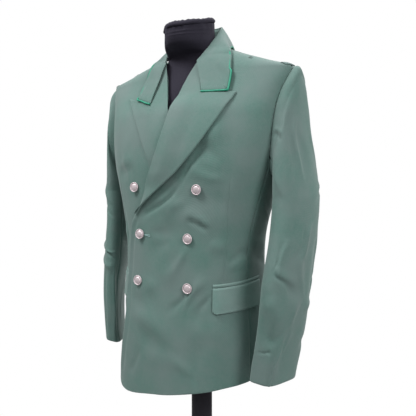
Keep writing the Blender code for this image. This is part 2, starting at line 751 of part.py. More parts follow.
def both_halves(points):
    """Stations from one end of the collar round the back to the other end."""
    other = [[Vector((-p.x, p.y, p.z)) for p in line] for line in points[:-1]]
    return points + other[::-1]


def collar():
    last = len(COLLAR) - 1
    half = [[collar_point(i, t) for t in spread(6)] for i in range(last + 1)]
    shell("collar_fall", both_halves(half), flip=False)
    stand = []
    for i, base in enumerate(STAND):
        station = STAND_START + i
        fold = Vector(COLLAR[station][:3]) + Vector((0.0, 0.0, HEM_HEIGHT - 0.0044))
        foot = Vector(base) + Vector((0.0, 0.0, HEM_HEIGHT))
        inward = Vector((-fold.x, -fold.y - 0.035, 0.0)).normalized() * 0.0014
        stand.append([fold + inward, (fold + foot) / 2.0 + inward * 0.5, foot])
    shell("collar_stand", both_halves(stand), flip=False)
    edge = [collar_point(i, 1.0) for i in range(last + 1)]
    inner = [collar_point(i, 0.85) for i in range(last + 1)]
    line = rim(edge, inner, PIPING_RADIUS + 0.0006)
    whole = line + [Vector((-p.x, p.y, p.z)) for p in line[:-1]][::-1]
    tube("collar_piping", whole, PIPING_RADIUS, "piping")


# ---- pockets, buttons and loops ---------------------------------------------
def flap_rise(degrees, height, side):
    x = skin(degrees, height).x
    return front_rise(x, height, side)


def pocket(side, word):
    first = angle_at(FLAP_FRONT_X, FLAP_TOP[0])
    cols = 9
    flap, jet = [], []
    for v in (0.0, 0.10, 0.24, 0.50, 0.78, 1.0):
        line = []
        for t in spread(cols):
            top = FLAP_TOP[0] + (FLAP_TOP[1] - FLAP_TOP[0]) * t
            corner = 0.006 * (1.0 - v / 0.24) ** 2 if v < 0.24 else 0.0
            shift = corner * (1.0 - 2.0 * t)
            degrees = first + (FLAP_BACK_ANGLE - first) * t + math.degrees(shift / 0.16)
            height = top - FLAP_DEPTH * (1.0 - v)
            rise = flap_rise(degrees, height, side) + FLAP_THICKNESS + LAYER
            rise += 0.0006 * (1.0 - v)
            line.append(body(degrees, height, rise))
        flap.append(line)
    for v in (0.0, 1.0):
        line = []
        for t in spread(cols):
            top = FLAP_TOP[0] + (FLAP_TOP[1] - FLAP_TOP[0]) * t + 0.0004
            degrees = first + (FLAP_BACK_ANGLE - first) * t
            height = top + JET_DEPTH * v
            rise = flap_rise(degrees, height, side) + 0.0015 + LAYER
            line.append(body(degrees, height, rise))
        jet.append(line)
    shell(word + "_pocket_flap", mirrored(flap, side), thickness=FLAP_THICKNESS, flip=side < 0)
    shell(word + "_pocket_jet", mirrored(jet, side), thickness=0.0015, flip=side < 0)


BUTTON_PROFILE = (
    (0.0000, 0.0064), (0.0030, 0.0061), (0.0056, 0.0051), (0.0074, 0.0036), (0.0080, 0.0033),
    (0.0092, 0.0040), (0.0102, 0.0036), (0.0105, 0.0026), (0.0096, 0.0018), (0.0030, 0.0014),
    (0.0026, 0.0000), (0.0000, 0.0000),
)


def buttons():
    for name, x, height in BUTTONS:
        side = 1 if name != "right_top" else -1
        degrees = angle_at(x, height)
        rise = front_rise(x, height, side) + REST + 0.0001
        facing = normal(degrees, height)
        turn = facing.to_track_quat("Z", "Y").to_matrix().to_4x4()
        matrix = Matrix.Translation(body(degrees, height, rise)) @ turn
        turned("button_" + name, BUTTON_PROFILE, 18, "button_metal", matrix)


def shoulder_loop(side, word):
    grid = []
    for t in (0.0, 1.0):
        height = 0.6855 - 0.0045 * t
        line = []
        for degrees in (64.0, 72.0, 79.0, 85.0, 90.0, 95.0, 101.0, 108.0, 116.0):
            arch = 0.0008 * bump(degrees, 90.0, 26.0)
            line.append(body(degrees, height, 0.0012 + LAYER + arch))
        grid.append(line)
    shell(word + "_shoulder_loop", mirrored(grid, side), thickness=0.0012, flip=side > 0)


# ---- dress form and stand ---------------------------------------------------
def dress_form():
    rings = []
    for height, half_width, front, back, centre_y, power in FORM:
        line = []
        for i in range(FORM_SIDES):
            degrees = 360.0 * i / FORM_SIDES
            x, y = oval(half_width, front, back, centre_y, power, power, degrees)
            rise = (y - centre_y) * math.tan(math.radians(NECK_SLOPE)) * ease(height, 0.735, 0.781)
            line.append(Vector((x, y, HEM_HEIGHT + height + rise)))
        rings.append(line)
    closed_loft("form_torso", rings, "form_cover")
    cap_rings = []
    for out, lift in ((-0.0040, 0.0006), (0.0012, 0.0030), (0.0030, 0.0065), (0.0018, 0.0100),
                      (-0.0040, 0.0120), (-0.0180, 0.0105)):
        line = []
        _, half_width, front, back, centre_y, power = FORM[-1]
        for i in range(FORM_SIDES):
            degrees = 360.0 * i / FORM_SIDES
            x, y = oval(half_width + out, front + out, back + out, centre_y, power, power, degrees)
            rise = (y - centre_y) * math.tan(math.radians(NECK_SLOPE))
            line.append(Vector((x, y, HEM_HEIGHT + FORM[-1][0] + rise + lift - 0.0002)))
        cap_rings.append(line)
    closed_loft("form_neck_cap", cap_rings, "form_cover")


def stand():
    foot = BASE_THICKNESS
    top = HEM_HEIGHT + FORM[0][0] - REST
    turned("stand_base", (
        (0.0000, foot), (POLE_RADIUS + 0.012, foot), (BASE_RADIUS - 0.010, foot - 0.002),
        (BASE_RADIUS - 0.003, foot - 0.005), (BASE_RADIUS, foot - 0.010), (BASE_RADIUS, 0.0),
        (0.0000, 0.0)), 48, "stand_paint")
    turned("stand_pole", (
        (0.0000, top), (POLE_RADIUS, top), (POLE_RADIUS, foot + 0.40),
        (POLE_RADIUS + 0.0010, foot + 0.060), (POLE_RADIUS + 0.0050, foot + 0.012),
        (POLE_RADIUS + 0.0060, foot + REST), (0.0000, foot + REST)), 32, "stand_paint")


def lower_shoulder():
    """Let the right shoulder hang: every point there moves down together."""
    for item in COLLECTION.objects:
        if item.name.startswith("stand"):
            continue
        for vertex in item.data.vertices:
            height = vertex.co.z - HEM_HEIGHT
            share = ease(-vertex.co.x, 0.040, 0.200) * ease(height, 0.540, 0.680)
            beside_neck = ease(-vertex.co.x, 0.026, 0.064) * ease(height, 0.690, 0.740)
            vertex.co.z -= SHOULDER_DROOP * share + NECK_DROOP * beside_neck * (1.0 - share)


def build():
    front_panel("right_front", -1, 30, 14)
    front_panel("left_front", 1, 30, 14)
    for side, word in ((1, "left"), (-1, "right")):
        side_panel(word + "_side", side, 14, 5)
        back_panel(word + "_back", side, 19, 9)
        pocket(side, word)
        shoulder_loop(side, word)
    sleeves()
    lapel("left_lapel", 1, 14, 0.02)
    lapel("right_lapel", -1, 9, 0.42, hidden=lambda height: -roll_x(height) - 0.015)
    collar()
    buttons()
    dress_form()
    stand()
    lower_shoulder()


clear_scene()
COLLECTION = bpy.data.collections.new("dress_tunic_on_form")
bpy.context.scene.collection.children.link(COLLECTION)
build()
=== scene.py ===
"""Visual model of the double-breasted uniform jacket on its limbless dress form and pole stand.

Every cloth panel is a grid of points over the same surfaces as its solid, moved along its normals
by folds, seams and edges, and thickened inward. Lengths are in metres and angles in degrees.
Side 1 is the wearer's left and -1 the right.
"""
import math

import bpy
import bmesh
import numpy as np
from mathutils import Matrix, Vector


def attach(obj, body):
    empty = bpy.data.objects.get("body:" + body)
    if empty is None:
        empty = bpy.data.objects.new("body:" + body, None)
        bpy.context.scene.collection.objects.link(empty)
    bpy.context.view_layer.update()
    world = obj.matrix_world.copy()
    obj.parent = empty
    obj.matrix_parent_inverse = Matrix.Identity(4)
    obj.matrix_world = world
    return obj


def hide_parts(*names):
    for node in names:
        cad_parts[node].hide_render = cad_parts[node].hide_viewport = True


HEM_HEIGHT = 0.500          # hem of the jacket above the floor
CLOTH = 0.0020              # wall of every cloth panel
LAYER = 0.0006              # space between cloth lying on cloth
FLAP_THICKNESS = 0.0022
PIPING_RADIUS = 0.0020
POLE_RADIUS = 0.0235
BASE_RADIUS = 0.180
BASE_THICKNESS = 0.018
REST = 0.0003               # space between a piece and what carries it

# Body of the jacket: level rings. Heights are above the hem.
RING_COLUMNS = ("height", "half_width", "front", "back", "centre_y", "front_power", "back_power")
RINGS = (
    (0.000, 0.1720, 0.1240, 0.1180, -0.030, 2.15, 2.20),
    (0.060, 0.1710, 0.1210, 0.1180, -0.030, 2.15, 2.20),
    (0.120, 0.1700, 0.1180, 0.1170, -0.030, 2.20, 2.20),
    (0.180, 0.1680, 0.1135, 0.1130, -0.029, 2.30, 2.30),
    (0.245, 0.1630, 0.1075, 0.1110, -0.028, 2.40, 2.35),
    (0.300, 0.1605, 0.1040, 0.1140, -0.028, 2.50, 2.35),
    (0.345, 0.1650, 0.1030, 0.1060, -0.027, 2.50, 2.35),
    (0.390, 0.1765, 0.1040, 0.1000, -0.026, 2.50, 2.35),
    (0.440, 0.1915, 0.1050, 0.1020, -0.024, 2.50, 2.35),
    (0.490, 0.2060, 0.1050, 0.1110, -0.023, 2.50, 2.45),
    (0.540, 0.2130, 0.1010, 0.1150, -0.022, 2.55, 2.55),
    (0.590, 0.2170, 0.0900, 0.1110, -0.021, 2.70, 2.60),
    (0.632, 0.2230, 0.0700, 0.0990, -0.021, 2.80, 2.60),
    (0.660, 0.2300, 0.0560, 0.0850, -0.021, 2.70, 2.55),
    (0.678, 0.2320, 0.0490, 0.0760, -0.021, 2.50, 2.50),
    (0.699, 0.1720, 0.0430, 0.0690, -0.021, 2.40, 2.40),
    (0.719, 0.1120, 0.0375, 0.0640, -0.021, 2.30, 2.30),
    (0.733, 0.0800, 0.0340, 0.0620, -0.021, 2.20, 2.20),
    (0.750, 0.0680, 0.0330, 0.0620, -0.021, 2.20, 2.20),
)

# Front panel, one row per level: front edge or roll line, then side seam or armhole.
FRONT_COLUMNS = ("inner_x", "inner_height", "outer_angle", "outer_height")
FRONT_ROWS = (
    (-0.0880, 0.0000, 77.0, 0.000),
    (-0.1100, 0.0060, 77.0, 0.014),
    (-0.1180, 0.0200, 77.0, 0.032),
    (-0.1160, 0.0450, 77.0, 0.056),
    (-0.1115, 0.0900, 77.0, 0.096),
    (-0.1055, 0.1350, 77.0, 0.136),
    (-0.1030, 0.1800, 77.0, 0.176),
    (-0.1090, 0.2250, 77.0, 0.216),
    (-0.1090, 0.2700, 77.0, 0.256),
    (-0.1060, 0.3150, 77.0, 0.296),
    (-0.0995, 0.3580, 77.0, 0.336),
    (-0.0850, 0.3830, 77.0, 0.368),
    (-0.0480, 0.4360, 77.0, 0.412),
    (-0.0255, 0.4860, 77.0, 0.452),
    (-0.0065, 0.5380, 76.0, 0.490),
    (0.0070, 0.5880, 74.6, 0.528),
    (0.0170, 0.6240, 74.2, 0.566),
    (0.0300, 0.6560, 75.0, 0.602),
    (0.0395, 0.6800, 77.0, 0.634),
    (0.0540, 0.6970, 80.5, 0.655),
    (0.0685, 0.7120, 85.0, 0.668),
    (0.0760, 0.7230, 88.0, 0.674),
    (0.0800, 0.7320, 89.2, 0.677),
)

# Rise of the hem from its lowest corner, by angle from each front's own side.
HEM_COLUMNS = ("angle", "left_rise", "right_rise")
HEM = (
    (-45.0, 0.0000, 0.0450),
    (-25.0, 0.0030, 0.0400),
    (0.0, 0.0185, 0.0330),
    (20.0, 0.0320, 0.0320),
    (36.0, 0.0415, 0.0370),
    (51.0, 0.0495, 0.0450),
    (63.0, 0.0530, 0.0520),
    (77.0, 0.0560, 0.0570),
    (180.0, 0.0600, 0.0600),
)
HEM_REACH = 0.280               # height where the rise of the hem has run out
EDGE_FLARE = 0.0105             # the left front's lower edge stands off this far
SHOULDER_DROOP = 0.0090         # the right shoulder hangs this much lower
NECK_DROOP = 0.0150             # the collar's right side sits this much lower

# Back panel, one row per level: side seam or armhole, then centre back.
BACK_COLUMNS = ("outer_angle", "outer_height", "inner_height")
BACK_ROWS = (
    (116.0, 0.000, 0.000),
    (116.0, 0.050, 0.050),
    (116.0, 0.105, 0.108),
    (116.0, 0.160, 0.168),
    (116.0, 0.215, 0.228),
    (116.0, 0.270, 0.288),
    (116.0, 0.325, 0.346),
    (116.0, 0.380, 0.404),
    (116.0, 0.435, 0.462),
    (116.0, 0.490, 0.520),
    (115.5, 0.530, 0.566),
    (114.0, 0.570, 0.610),
    (112.0, 0.608, 0.652),
    (106.0, 0.640, 0.690),
    (98.0, 0.662, 0.718),
    (92.5, 0.673, 0.735),
    (90.8, 0.677, 0.746),
)
NECK_POINT = (90.8, 0.732)      # where the shoulder seam meets the back neckline
NECK_SHARE = 0.5                # share of the back's top edge that is the shoulder seam

# Armhole from the shoulder point, down the front, under the arm and up the back.
ARMHOLE_COLUMNS = ("angle", "height")
ARMHOLE = (
    (90.0, 0.6780),
    (85.0, 0.6680),
    (80.5, 0.6550),
    (77.0, 0.6340),
    (75.0, 0.6020),
    (74.2, 0.5660),
    (74.6, 0.5280),
    (76.6, 0.4940),
    (81.0, 0.4760),
    (89.0, 0.4700),
    (98.0, 0.4700),
    (108.0, 0.4780),
    (116.0, 0.4970),
    (115.5, 0.5300),
    (114.0, 0.5700),
    (112.0, 0.6080),
    (106.0, 0.6400),
    (98.0, 0.6620),
)

# Sleeves from the upper arm to the hem: flat oval rings that hang from the armhole.
SLEEVE_COLUMNS = ("height", "centre_x", "centre_y", "half_depth", "half_thick", "turn", "tilt",
                  "roll")
LEFT_SLEEVE = (
    (0.430, 0.2400, -0.0110, 0.0685, 0.0325, 0.0, 0.0, 0.0),
    (0.395, 0.2410, -0.0160, 0.0680, 0.0325, 0.0, 2.0, 0.0),
    (0.360, 0.2415, -0.0225, 0.0675, 0.0320, 1.0, 3.0, 0.0),
    (0.325, 0.2410, -0.0305, 0.0672, 0.0310, 2.0, 4.0, 0.0),
    (0.290, 0.2400, -0.0385, 0.0670, 0.0305, 3.0, 5.0, 0.0),
    (0.255, 0.2380, -0.0445, 0.0660, 0.0300, 4.0, 6.0, 0.0),
    (0.215, 0.2350, -0.0475, 0.0615, 0.0295, 4.0, 6.0, 0.0),
    (0.175, 0.2305, -0.0500, 0.0565, 0.0282, 4.0, 6.0, 0.0),
    (0.135, 0.2250, -0.0530, 0.0532, 0.0272, 4.0, 6.0, 0.0),
    (0.102, 0.2200, -0.0548, 0.0516, 0.0268, 4.0, 6.0, 0.0),
    (0.072, 0.2160, -0.0552, 0.0508, 0.0266, 4.0, 6.0, 0.0),
)
RIGHT_SLEEVE = (
    (0.430, 0.2175, -0.0110, 0.0680, 0.0235, 4.0, 0.0, 0.0),
    (0.395, 0.2175, -0.0160, 0.0670, 0.0235, 9.0, 2.0, 0.0),
    (0.360, 0.2185, -0.0220, 0.0660, 0.0230, 15.0, 3.0, 0.0),
    (0.325, 0.2220, -0.0290, 0.0650, 0.0225, 21.0, 4.0, 0.0),
    (0.290, 0.2242, -0.0365, 0.0640, 0.0220, 26.0, 5.0, 0.0),
    (0.255, 0.2258, -0.0430, 0.0630, 0.0212, 30.0, 6.0, 0.0),
    (0.215, 0.2285, -0.0480, 0.0605, 0.0180, 32.0, 6.0, 2.0),
    (0.175, 0.2270, -0.0520, 0.0585, 0.0165, 33.0, 6.0, 5.0),
    (0.137, 0.2235, -0.0550, 0.0575, 0.0155, 34.0, 6.0, 8.0),
    (0.104, 0.2200, -0.0570, 0.0555, 0.0150, 34.0, 6.0, 11.0),
    (0.0740, 0.2150, -0.0580, 0.0545, 0.0155, 34.0, 6.0, 13.0),
)
UNDER_SLEEVE = (0.78, 1.24)     # under sleeve on the ring, 0 outer edge, 0.5 front, 1 inner
# Section at the cuff, nearly square, and above the elbow, by side.
SLEEVE_POWER = {1: (0.50, 0.90), -1: (0.52, 0.90)}
# Cloth falls in below the sleeve head: depth, middle and reach, by side.
HEAD_HOLLOW = {1: (0.0095, 0.52, 0.44), -1: (0.0060, 0.42, 0.42)}

# Lapels by side: roll line and outer edge from the low end up, then the top edge with the notch.
LAPEL_COLUMNS = ("roll_x", "roll_height", "edge_x", "edge_height")
LAPEL_ROWS = {
    1: (
        (-0.0850, 0.3830, -0.0834, 0.3834),
        (-0.0620, 0.4040, -0.0545, 0.4065),
        (-0.0505, 0.4280, -0.0235, 0.4300),
        (-0.0405, 0.4560, 0.0085, 0.4535),
        (-0.0270, 0.4820, 0.0355, 0.4745),
        (-0.0165, 0.5080, 0.0615, 0.5000),
        (-0.0075, 0.5340, 0.0850, 0.5270),
        (0.0005, 0.5600, 0.1060, 0.5560),
        (0.0065, 0.5860, 0.1250, 0.5850),
        (0.0100, 0.6100, 0.1360, 0.6065),
        (0.0130, 0.6400, 0.1415, 0.6175),
        (0.0215, 0.6700, 0.1445, 0.6250),
    ),
    -1: (
        (-0.0850, 0.3830, -0.0834, 0.3834),
        (-0.0620, 0.4040, -0.0545, 0.4065),
        (-0.0505, 0.4280, -0.0300, 0.4290),
        (-0.0405, 0.4560, -0.0010, 0.4500),
        (-0.0270, 0.4820, 0.0248, 0.4740),
        (-0.0165, 0.5080, 0.0440, 0.5020),
        (-0.0100, 0.5340, 0.0620, 0.5307),
        (-0.0050, 0.5600, 0.0790, 0.5590),
        (0.0000, 0.5880, 0.0935, 0.5820),
        (0.0110, 0.6140, 0.1100, 0.6060),
        (0.0220, 0.6390, 0.1240, 0.6220),
        (0.0310, 0.6600, 0.1310, 0.6310),
    ),
}
LAPEL_TOP = {                   # top edge by side: x and height at the roll, notch and point
    1: ((0.0400, 0.7010), (0.0700, 0.6312), (0.1465, 0.6300)),
    -1: ((0.0500, 0.7120), (0.0625, 0.6175), (0.1370, 0.6385)),
}

NOTCH = 0.46                    # share of the top edge that is the gorge seam

# Collar stations from the notch round to centre back: fold line, then outer edge.
COLLAR_COLUMNS = ("fold_x", "fold_y", "fold_height", "edge_x", "edge_y", "edge_height")
COLLAR_LEFT = (
    (0.0388, -0.0650, 0.7030, 0.0706, -0.0960, 0.6380),
    (0.0422, -0.0640, 0.7065, 0.0905, -0.0945, 0.6372),
    (0.0461, -0.0630, 0.7110, 0.1110, -0.0930, 0.6368),
    (0.0497, -0.0610, 0.7160, 0.1285, -0.0910, 0.6365),
    (0.0543, -0.0565, 0.7245, 0.1275, -0.0820, 0.6560),
    (0.0589, -0.0500, 0.7345, 0.1255, -0.0735, 0.6770),
    (0.0612, -0.0410, 0.7455, 0.1210, -0.0630, 0.6960),
    (0.0617, -0.0300, 0.7566, 0.1120, -0.0510, 0.7150),
    (0.0601, -0.0180, 0.7669, 0.0990, -0.0330, 0.7270),
    (0.0554, -0.0040, 0.7761, 0.0850, -0.0020, 0.7350),
    (0.0470, 0.0110, 0.7825, 0.0690, 0.0260, 0.7350),
    (0.0350, 0.0240, 0.7860, 0.0520, 0.0445, 0.7345),
    (0.0190, 0.0330, 0.7875, 0.0300, 0.0550, 0.7345),
    (0.0000, 0.0360, 0.7880, 0.0000, 0.0580, 0.7350),
)
COLLAR_RIGHT = (
    (0.0450, -0.0650, 0.7050, 0.0565, -0.1050, 0.6200),
    (0.0470, -0.0640, 0.7080, 0.0705, -0.1020, 0.6235),
    (0.0492, -0.0630, 0.7120, 0.0865, -0.0985, 0.6295),
    (0.0518, -0.0610, 0.7165, 0.1005, -0.0945, 0.6352),
    (0.0550, -0.0565, 0.7245, 0.0990, -0.0865, 0.6520),
    (0.0589, -0.0500, 0.7345, 0.0955, -0.0790, 0.6700),
    (0.0612, -0.0410, 0.7455, 0.0915, -0.0745, 0.6880),
    (0.0617, -0.0300, 0.7566, 0.0885, -0.0665, 0.7075),
    (0.0601, -0.0180, 0.7669, 0.0875, -0.0470, 0.7275),
    (0.0554, -0.0040, 0.7761, 0.0820, -0.0060, 0.7400),
    (0.0470, 0.0110, 0.7825, 0.0680, 0.0260, 0.7350),
) + COLLAR_LEFT[11:]
COLLAR = {1: COLLAR_LEFT, -1: COLLAR_RIGHT}
STAND_COLUMNS = ("base_x", "base_y", "base_height")
STAND = (
    (0.0560, -0.0560, 0.7170),
    (0.0630, -0.0500, 0.7220),
    (0.0690, -0.0420, 0.7270),
    (0.0725, -0.0300, 0.7320),
    (0.0730, -0.0160, 0.7370),
    (0.0695, -0.0010, 0.7410),
    (0.0600, 0.0160, 0.7450),
    (0.0450, 0.0300, 0.7480),
    (0.0245, 0.0400, 0.7500),
    (0.0000, 0.0430, 0.7510),
)
STAND_START = 4                 # first collar station that has a stand below it

BUTTONS = (                     # name, x and height above the hem
    ("right_top", -0.0837, 0.4430),
    ("left_top", 0.0830, 0.4430),
    ("right_middle", -0.0630, 0.3450),
    ("left_middle", 0.0630, 0.3450),
    ("right_low", -0.0650, 0.2460),
    ("left_low", 0.0650, 0.2460),
)

FLAP_FRONT_X = 0.1130
FLAP_BACK_ANGLE = 92.0
FLAP_TOP = (0.2500, 0.2600)     # top line at the front and at the back end
FLAP_DEPTH = 0.0510
JET_DEPTH = 0.0068

# Dress form: closed level rings from the bottom of the torso to the neck.
FORM_COLUMNS = ("height", "half_width", "front", "back", "centre_y", "power")
FORM = (
    (0.098, 0.1380, 0.0880, 0.0880, -0.029, 2.2),
    (0.112, 0.1500, 0.0970, 0.0960, -0.029, 2.2),
    (0.150, 0.1540, 0.0990, 0.0980, -0.029, 2.2),
    (0.190, 0.1530, 0.0980, 0.0960, -0.028, 2.2),
    (0.245, 0.1500, 0.0950, 0.0910, -0.027, 2.2),
    (0.300, 0.1490, 0.0920, 0.0850, -0.027, 2.2),
    (0.345, 0.1560, 0.0925, 0.0855, -0.026, 2.3),
    (0.400, 0.1680, 0.0940, 0.0900, -0.025, 2.3),
    (0.460, 0.1760, 0.0950, 0.0980, -0.023, 2.4),
    (0.520, 0.1800, 0.0940, 0.1030, -0.022, 2.4),
    (0.570, 0.1840, 0.0850, 0.1020, -0.021, 2.5),
    (0.610, 0.1880, 0.0710, 0.0960, -0.021, 2.5),
    (0.650, 0.1960, 0.0540, 0.0820, -0.021, 2.4),
    (0.6810, 0.1930, 0.0400, 0.0660, -0.021, 2.3),
    (0.6917, 0.1690, 0.0360, 0.0580, -0.021, 2.3),
    (0.7120, 0.1060, 0.0300, 0.0500, -0.023, 2.2),
    (0.7200, 0.0700, 0.0290, 0.0480, -0.028, 2.1),
    (0.7300, 0.0545, 0.0420, 0.0490, -0.036, 2.0),
    (0.742, 0.0545, 0.0520, 0.0550, -0.040, 2.0),
    (0.762, 0.0516, 0.0560, 0.0532, -0.041, 2.0),
    (0.781, 0.0505, 0.0570, 0.0520, -0.041, 2.0),
)
NECK_SLOPE = 12.0               # neck end, degrees higher at the back

# ---- sizes that only the visual model uses ----------------------------------
SIDES = ((1, "left"), (-1, "right"))
MIRROR = np.array([-1.0, 1.0, 1.0])
UP = (0.0, 0.0, 1.0)

WALL = 0.0016               # wall of the cloth
FRONT_SEAM_ANGLE = 77.0     # side panel's front and back seams
BACK_SEAM_ANGLE = 116.0
PANEL_GAP_ANGLE = 0.06      # space left at each side of a body seam
SLEEVE_GAP = 0.0030         # space left at each side of a sleeve seam, as a share of the ring
UNDERARM = slice(7, 13)     # armhole rows above the side panel
FLAP_CORNER = 0.0095        # radius of a flap's lower corners
SEAM_DIP = (0.0010, 0.0018)     # depth and reach of the dip along a seam
HEM_DIP = (0.0006, 0.0018)

# Grids: rows and columns of each panel, by side where the sides differ.
EDGE_STEPS = (0.0015, 0.004, 0.008, 0.014)      # closer grid lines beside an edge
FRONT_GRID = {1: (160, 64), -1: (130, 64)}
SIDE_GRID = (120, 28)
BACK_GRID = (120, 48)
SLEEVE_ROWS = (76, 130)     # over the sleeve head and below it
UPPER_SLEEVE_STEPS, UNDER_SLEEVE_STEPS = 104, 30
CORNER_STATIONS = (2.9, 2.96, 3.04, 3.1)        # close collar stations at its square corner
LAST_STATION = 13.0         # collar station at centre back

DART_COLUMNS = ("height", "x")
DART = ((0.2600, 0.1290), (0.3650, 0.1360), (0.4780, 0.1490))
DART_REACH = (0.02, 0.62)   # heights between which the dart's line is followed
DART_STEPS = (-0.0040, -0.0026, -0.0017, -0.0011, -0.0006, 0.0,
              0.0006, 0.0011, 0.0017, 0.0026, 0.0040)   # grid columns beside the dart
DART_MARGIN = 0.012         # share of a front's width between those and the even columns
FRONT_WIDTH = 0.20          # width of a front that its shares are taken from

# Folds, in millimetres: from and to as places across and up the cloth, half width, and height,
# which is below zero in a trough.
LEFT_FRONT_FOLDS = (
    (60, 385, 101, 364, 4.8, -4.8), (56, 399, 109, 376, 10, 4.4), (0, 395, 55, 418, 24, 3.4),
    (-60, 383, 45, 455, 14, -4.6), (50, 455, 105, 535, 14, -3.4), (-30, 350, 50, 370, 20, -2.6),
    (70, 425, 150, 410, 18, -2.6), (90, 590, 125, 530, 30, 3.6), (70, 530, 130, 500, 24, -2.6),
    (60, 485, 140, 465, 24, 2.6), (60, 335, 10, 250, 26, 3.4), (20, 335, -40, 295, 20, -2.4),
    (-70, 175, 30, 135, 19, 4), (-55, 145, 55, 100, 20, -3.6), (-30, 105, 90, 75, 20, 3),
    (96, 270, 60, 195, 16, 3.6), (70, 250, 20, 190, 18, -3.4), (108, 235, 85, 170, 13, -2.8),
    (-10, 250, -80, 215, 20, 3.4), (-15, 220, -85, 195, 18, -3), (120, 190, 150, 50, 24, 3),
    (90, 150, 95, 40, 24, -2.6), (-55, 110, -80, 40, 22, -2.4), (136, 302, 158, 328, 8, -2.8),
    (139, 285, 163, 308, 9.5, 3), (108, 340, 134, 326, 10, 2.2),
)
LEFT_EDGE_ROLL = 0.0016     # the front edge's turned cloth stands this proud
RIGHT_FRONT_FOLDS = (
    (95, 485, 150, 462, 12, -3), (90, 505, 145, 490, 12, 2.4), (120, 550, 105, 450, 20, 2),
    (140, 400, 125, 300, 16, -1.8), (120, 220, 130, 70, 16, 2), (135, 190, 145, 70, 14, -2),
    (120, 350, 155, 330, 8, 1.6),
)
SIDE_FOLDS = (
    (-40, 340, 30, 310, 9, 2), (-35, 315, 40, 285, 8, -1.8), (-30, 440, 30, 400, 10, -2),
    (-40, 415, 20, 380, 10, 1.8), (0, 230, -8, 70, 18, 2.6), (30, 210, 26, 60, 14, -2.2),
)
LEFT_BACK_FOLDS = (
    (20, 345, 120, 300, 11, 2.4), (15, 320, 110, 275, 10, -2.2), (40, 300, 130, 335, 12, -2),
    (90, 560, 80, 420, 20, 2.6), (120, 540, 115, 400, 16, -2.4), (50, 230, 60, 50, 22, 3),
    (100, 210, 115, 60, 20, -2.6), (15, 200, 10, 50, 16, -1.8), (20, 630, 120, 605, 14, -1.4),
)
RIGHT_BACK_FOLDS = (
    (30, 330, 125, 308, 12, 2.2), (20, 308, 115, 282, 9, -2), (25, 285, 115, 320, 10, 1.6),
    (85, 570, 95, 430, 22, 2.4), (122, 530, 108, 390, 15, -2.2), (60, 220, 48, 45, 20, 2.6),
    (105, 220, 100, 50, 22, -2.8), (12, 220, 16, 50, 15, -1.6),
)
SLEEVE_HALF = 0.160         # flat cloth across half a sleeve
SLEEVE_FOLDS = {
    (1, "upper"): (
        (-70, 590, -55, 460, 11, 2.2), (-55, 600, -40, 480, 10, -2),
        (-25, 610, -30, 490, 14, 1.6), (-90, 490, -20, 440, 10, 2.2),
        (-85, 460, -10, 415, 9, -2), (20, 560, 25, 420, 13, -2), (-45, 360, -60, 230, 9, 3),
        (-25, 350, -35, 220, 10, -2.8), (5, 380, -5, 240, 11, 2.6),
        (-100, 340, -50, 290, 9, 2.6), (-95, 310, -40, 260, 8, -2.4),
        (-70, 230, -10, 215, 9, 2.4), (-60, 145, -20, 135, 9, -2.2), (-50, 200, -40, 90, 16, 2),
        (48, 356, 56, 290, 8, 2.6), (62, 350, 74, 295, 9, -2.2), (0, 380, 5, 315, 9, 3),
        (16, 375, 22, 310, 9, -2.4), (100, 564, 62, 550, 5.5, 2.4),
        (102, 552, 66, 538, 5, -2.2), (95, 535, 70, 430, 14, 2.6), (48, 600, 42, 470, 18, -3.6),
        (20, 590, 15, 450, 14, 2.6), (66, 292, 8, 242, 11.5, -5.4), (70, 308, 10, 270, 11, 2.6),
        (84, 245, 38, 192, 18, 4.4), (78, 164, 25, 178, 11, -3.2), (10, 250, 18, 130, 10, 3.4),
        (16, 150, 48, 68, 9, 3), (86, 139, 54, 143, 6, -2.8), (-5, 230, 10, 90, 9, -2.6),
    ),
    (1, "under"): (
        (-30, 350, 40, 310, 10, 3), (-30, 320, 40, 285, 9, -2.8), (-20, 290, 40, 260, 10, 2.6),
        (0, 440, 10, 370, 14, -2.2), (0, 220, 5, 100, 15, 2),
    ),
    (-1, "upper"): (
        (-65, 590, -60, 470, 11, 2.2), (-40, 580, -45, 450, 10, -2.2),
        (-75, 450, -30, 410, 10, 2.4), (-80, 330, -30, 295, 8, -3.4),
        (-80, 348, -30, 315, 8, 3.4), (-75, 305, -25, 270, 9, 3), (-50, 295, -48, 130, 8, 3),
        (-30, 290, -32, 130, 9, -2.6), (20, 540, 15, 420, 12, 2), (15, 315, 108, 286, 8, 3.6),
        (15, 299, 108, 268, 6, -4.6), (20, 282, 106, 250, 8, 3), (100, 262, 90, 85, 8, 4),
        (72, 260, 66, 90, 9, -3.4), (30, 440, 90, 400, 12, 2.6), (35, 415, 95, 370, 11, -2.8),
    ),
    (-1, "under"): (
        (-30, 340, 35, 310, 9, 2.8), (-25, 315, 35, 280, 9, -2.6), (5, 430, 0, 360, 13, -2),
        (10, 220, 0, 100, 14, 2),
    ),
}
LAPEL_FOLDS = (
    (35, 620, -10, 480, 20, 1.2), (90, 610, 50, 520, 18, -1),
)
COLLAR_FOLDS = (
    (50, 700, 90, 660, 12, 1), (340, 700, 380, 660, 12, 1),
)
FLAP_FOLDS = (
    (125, 248, 130, 205, 12, 0.8), (155, 248, 152, 205, 14, -0.6),
)
# Collar stations over which the piping goes under the cloth.
PIPING_TUCK = {1: (4.7, 5.3), -1: (3.02, 3.35)}
BUTTONHOLES = (("middle", -0.0490, 0.3440), ("low", -0.0455, 0.2450))   # name, x and height
HOLE_LENGTH = 0.0120
HOLE_SLOPE = 0.06           # a buttonhole drops this much for its length
EYELETS = ((60.0, 0.6990), (66.0, 0.7015))      # angle and height on the shoulder
EYELET_RADIUS = 0.0014


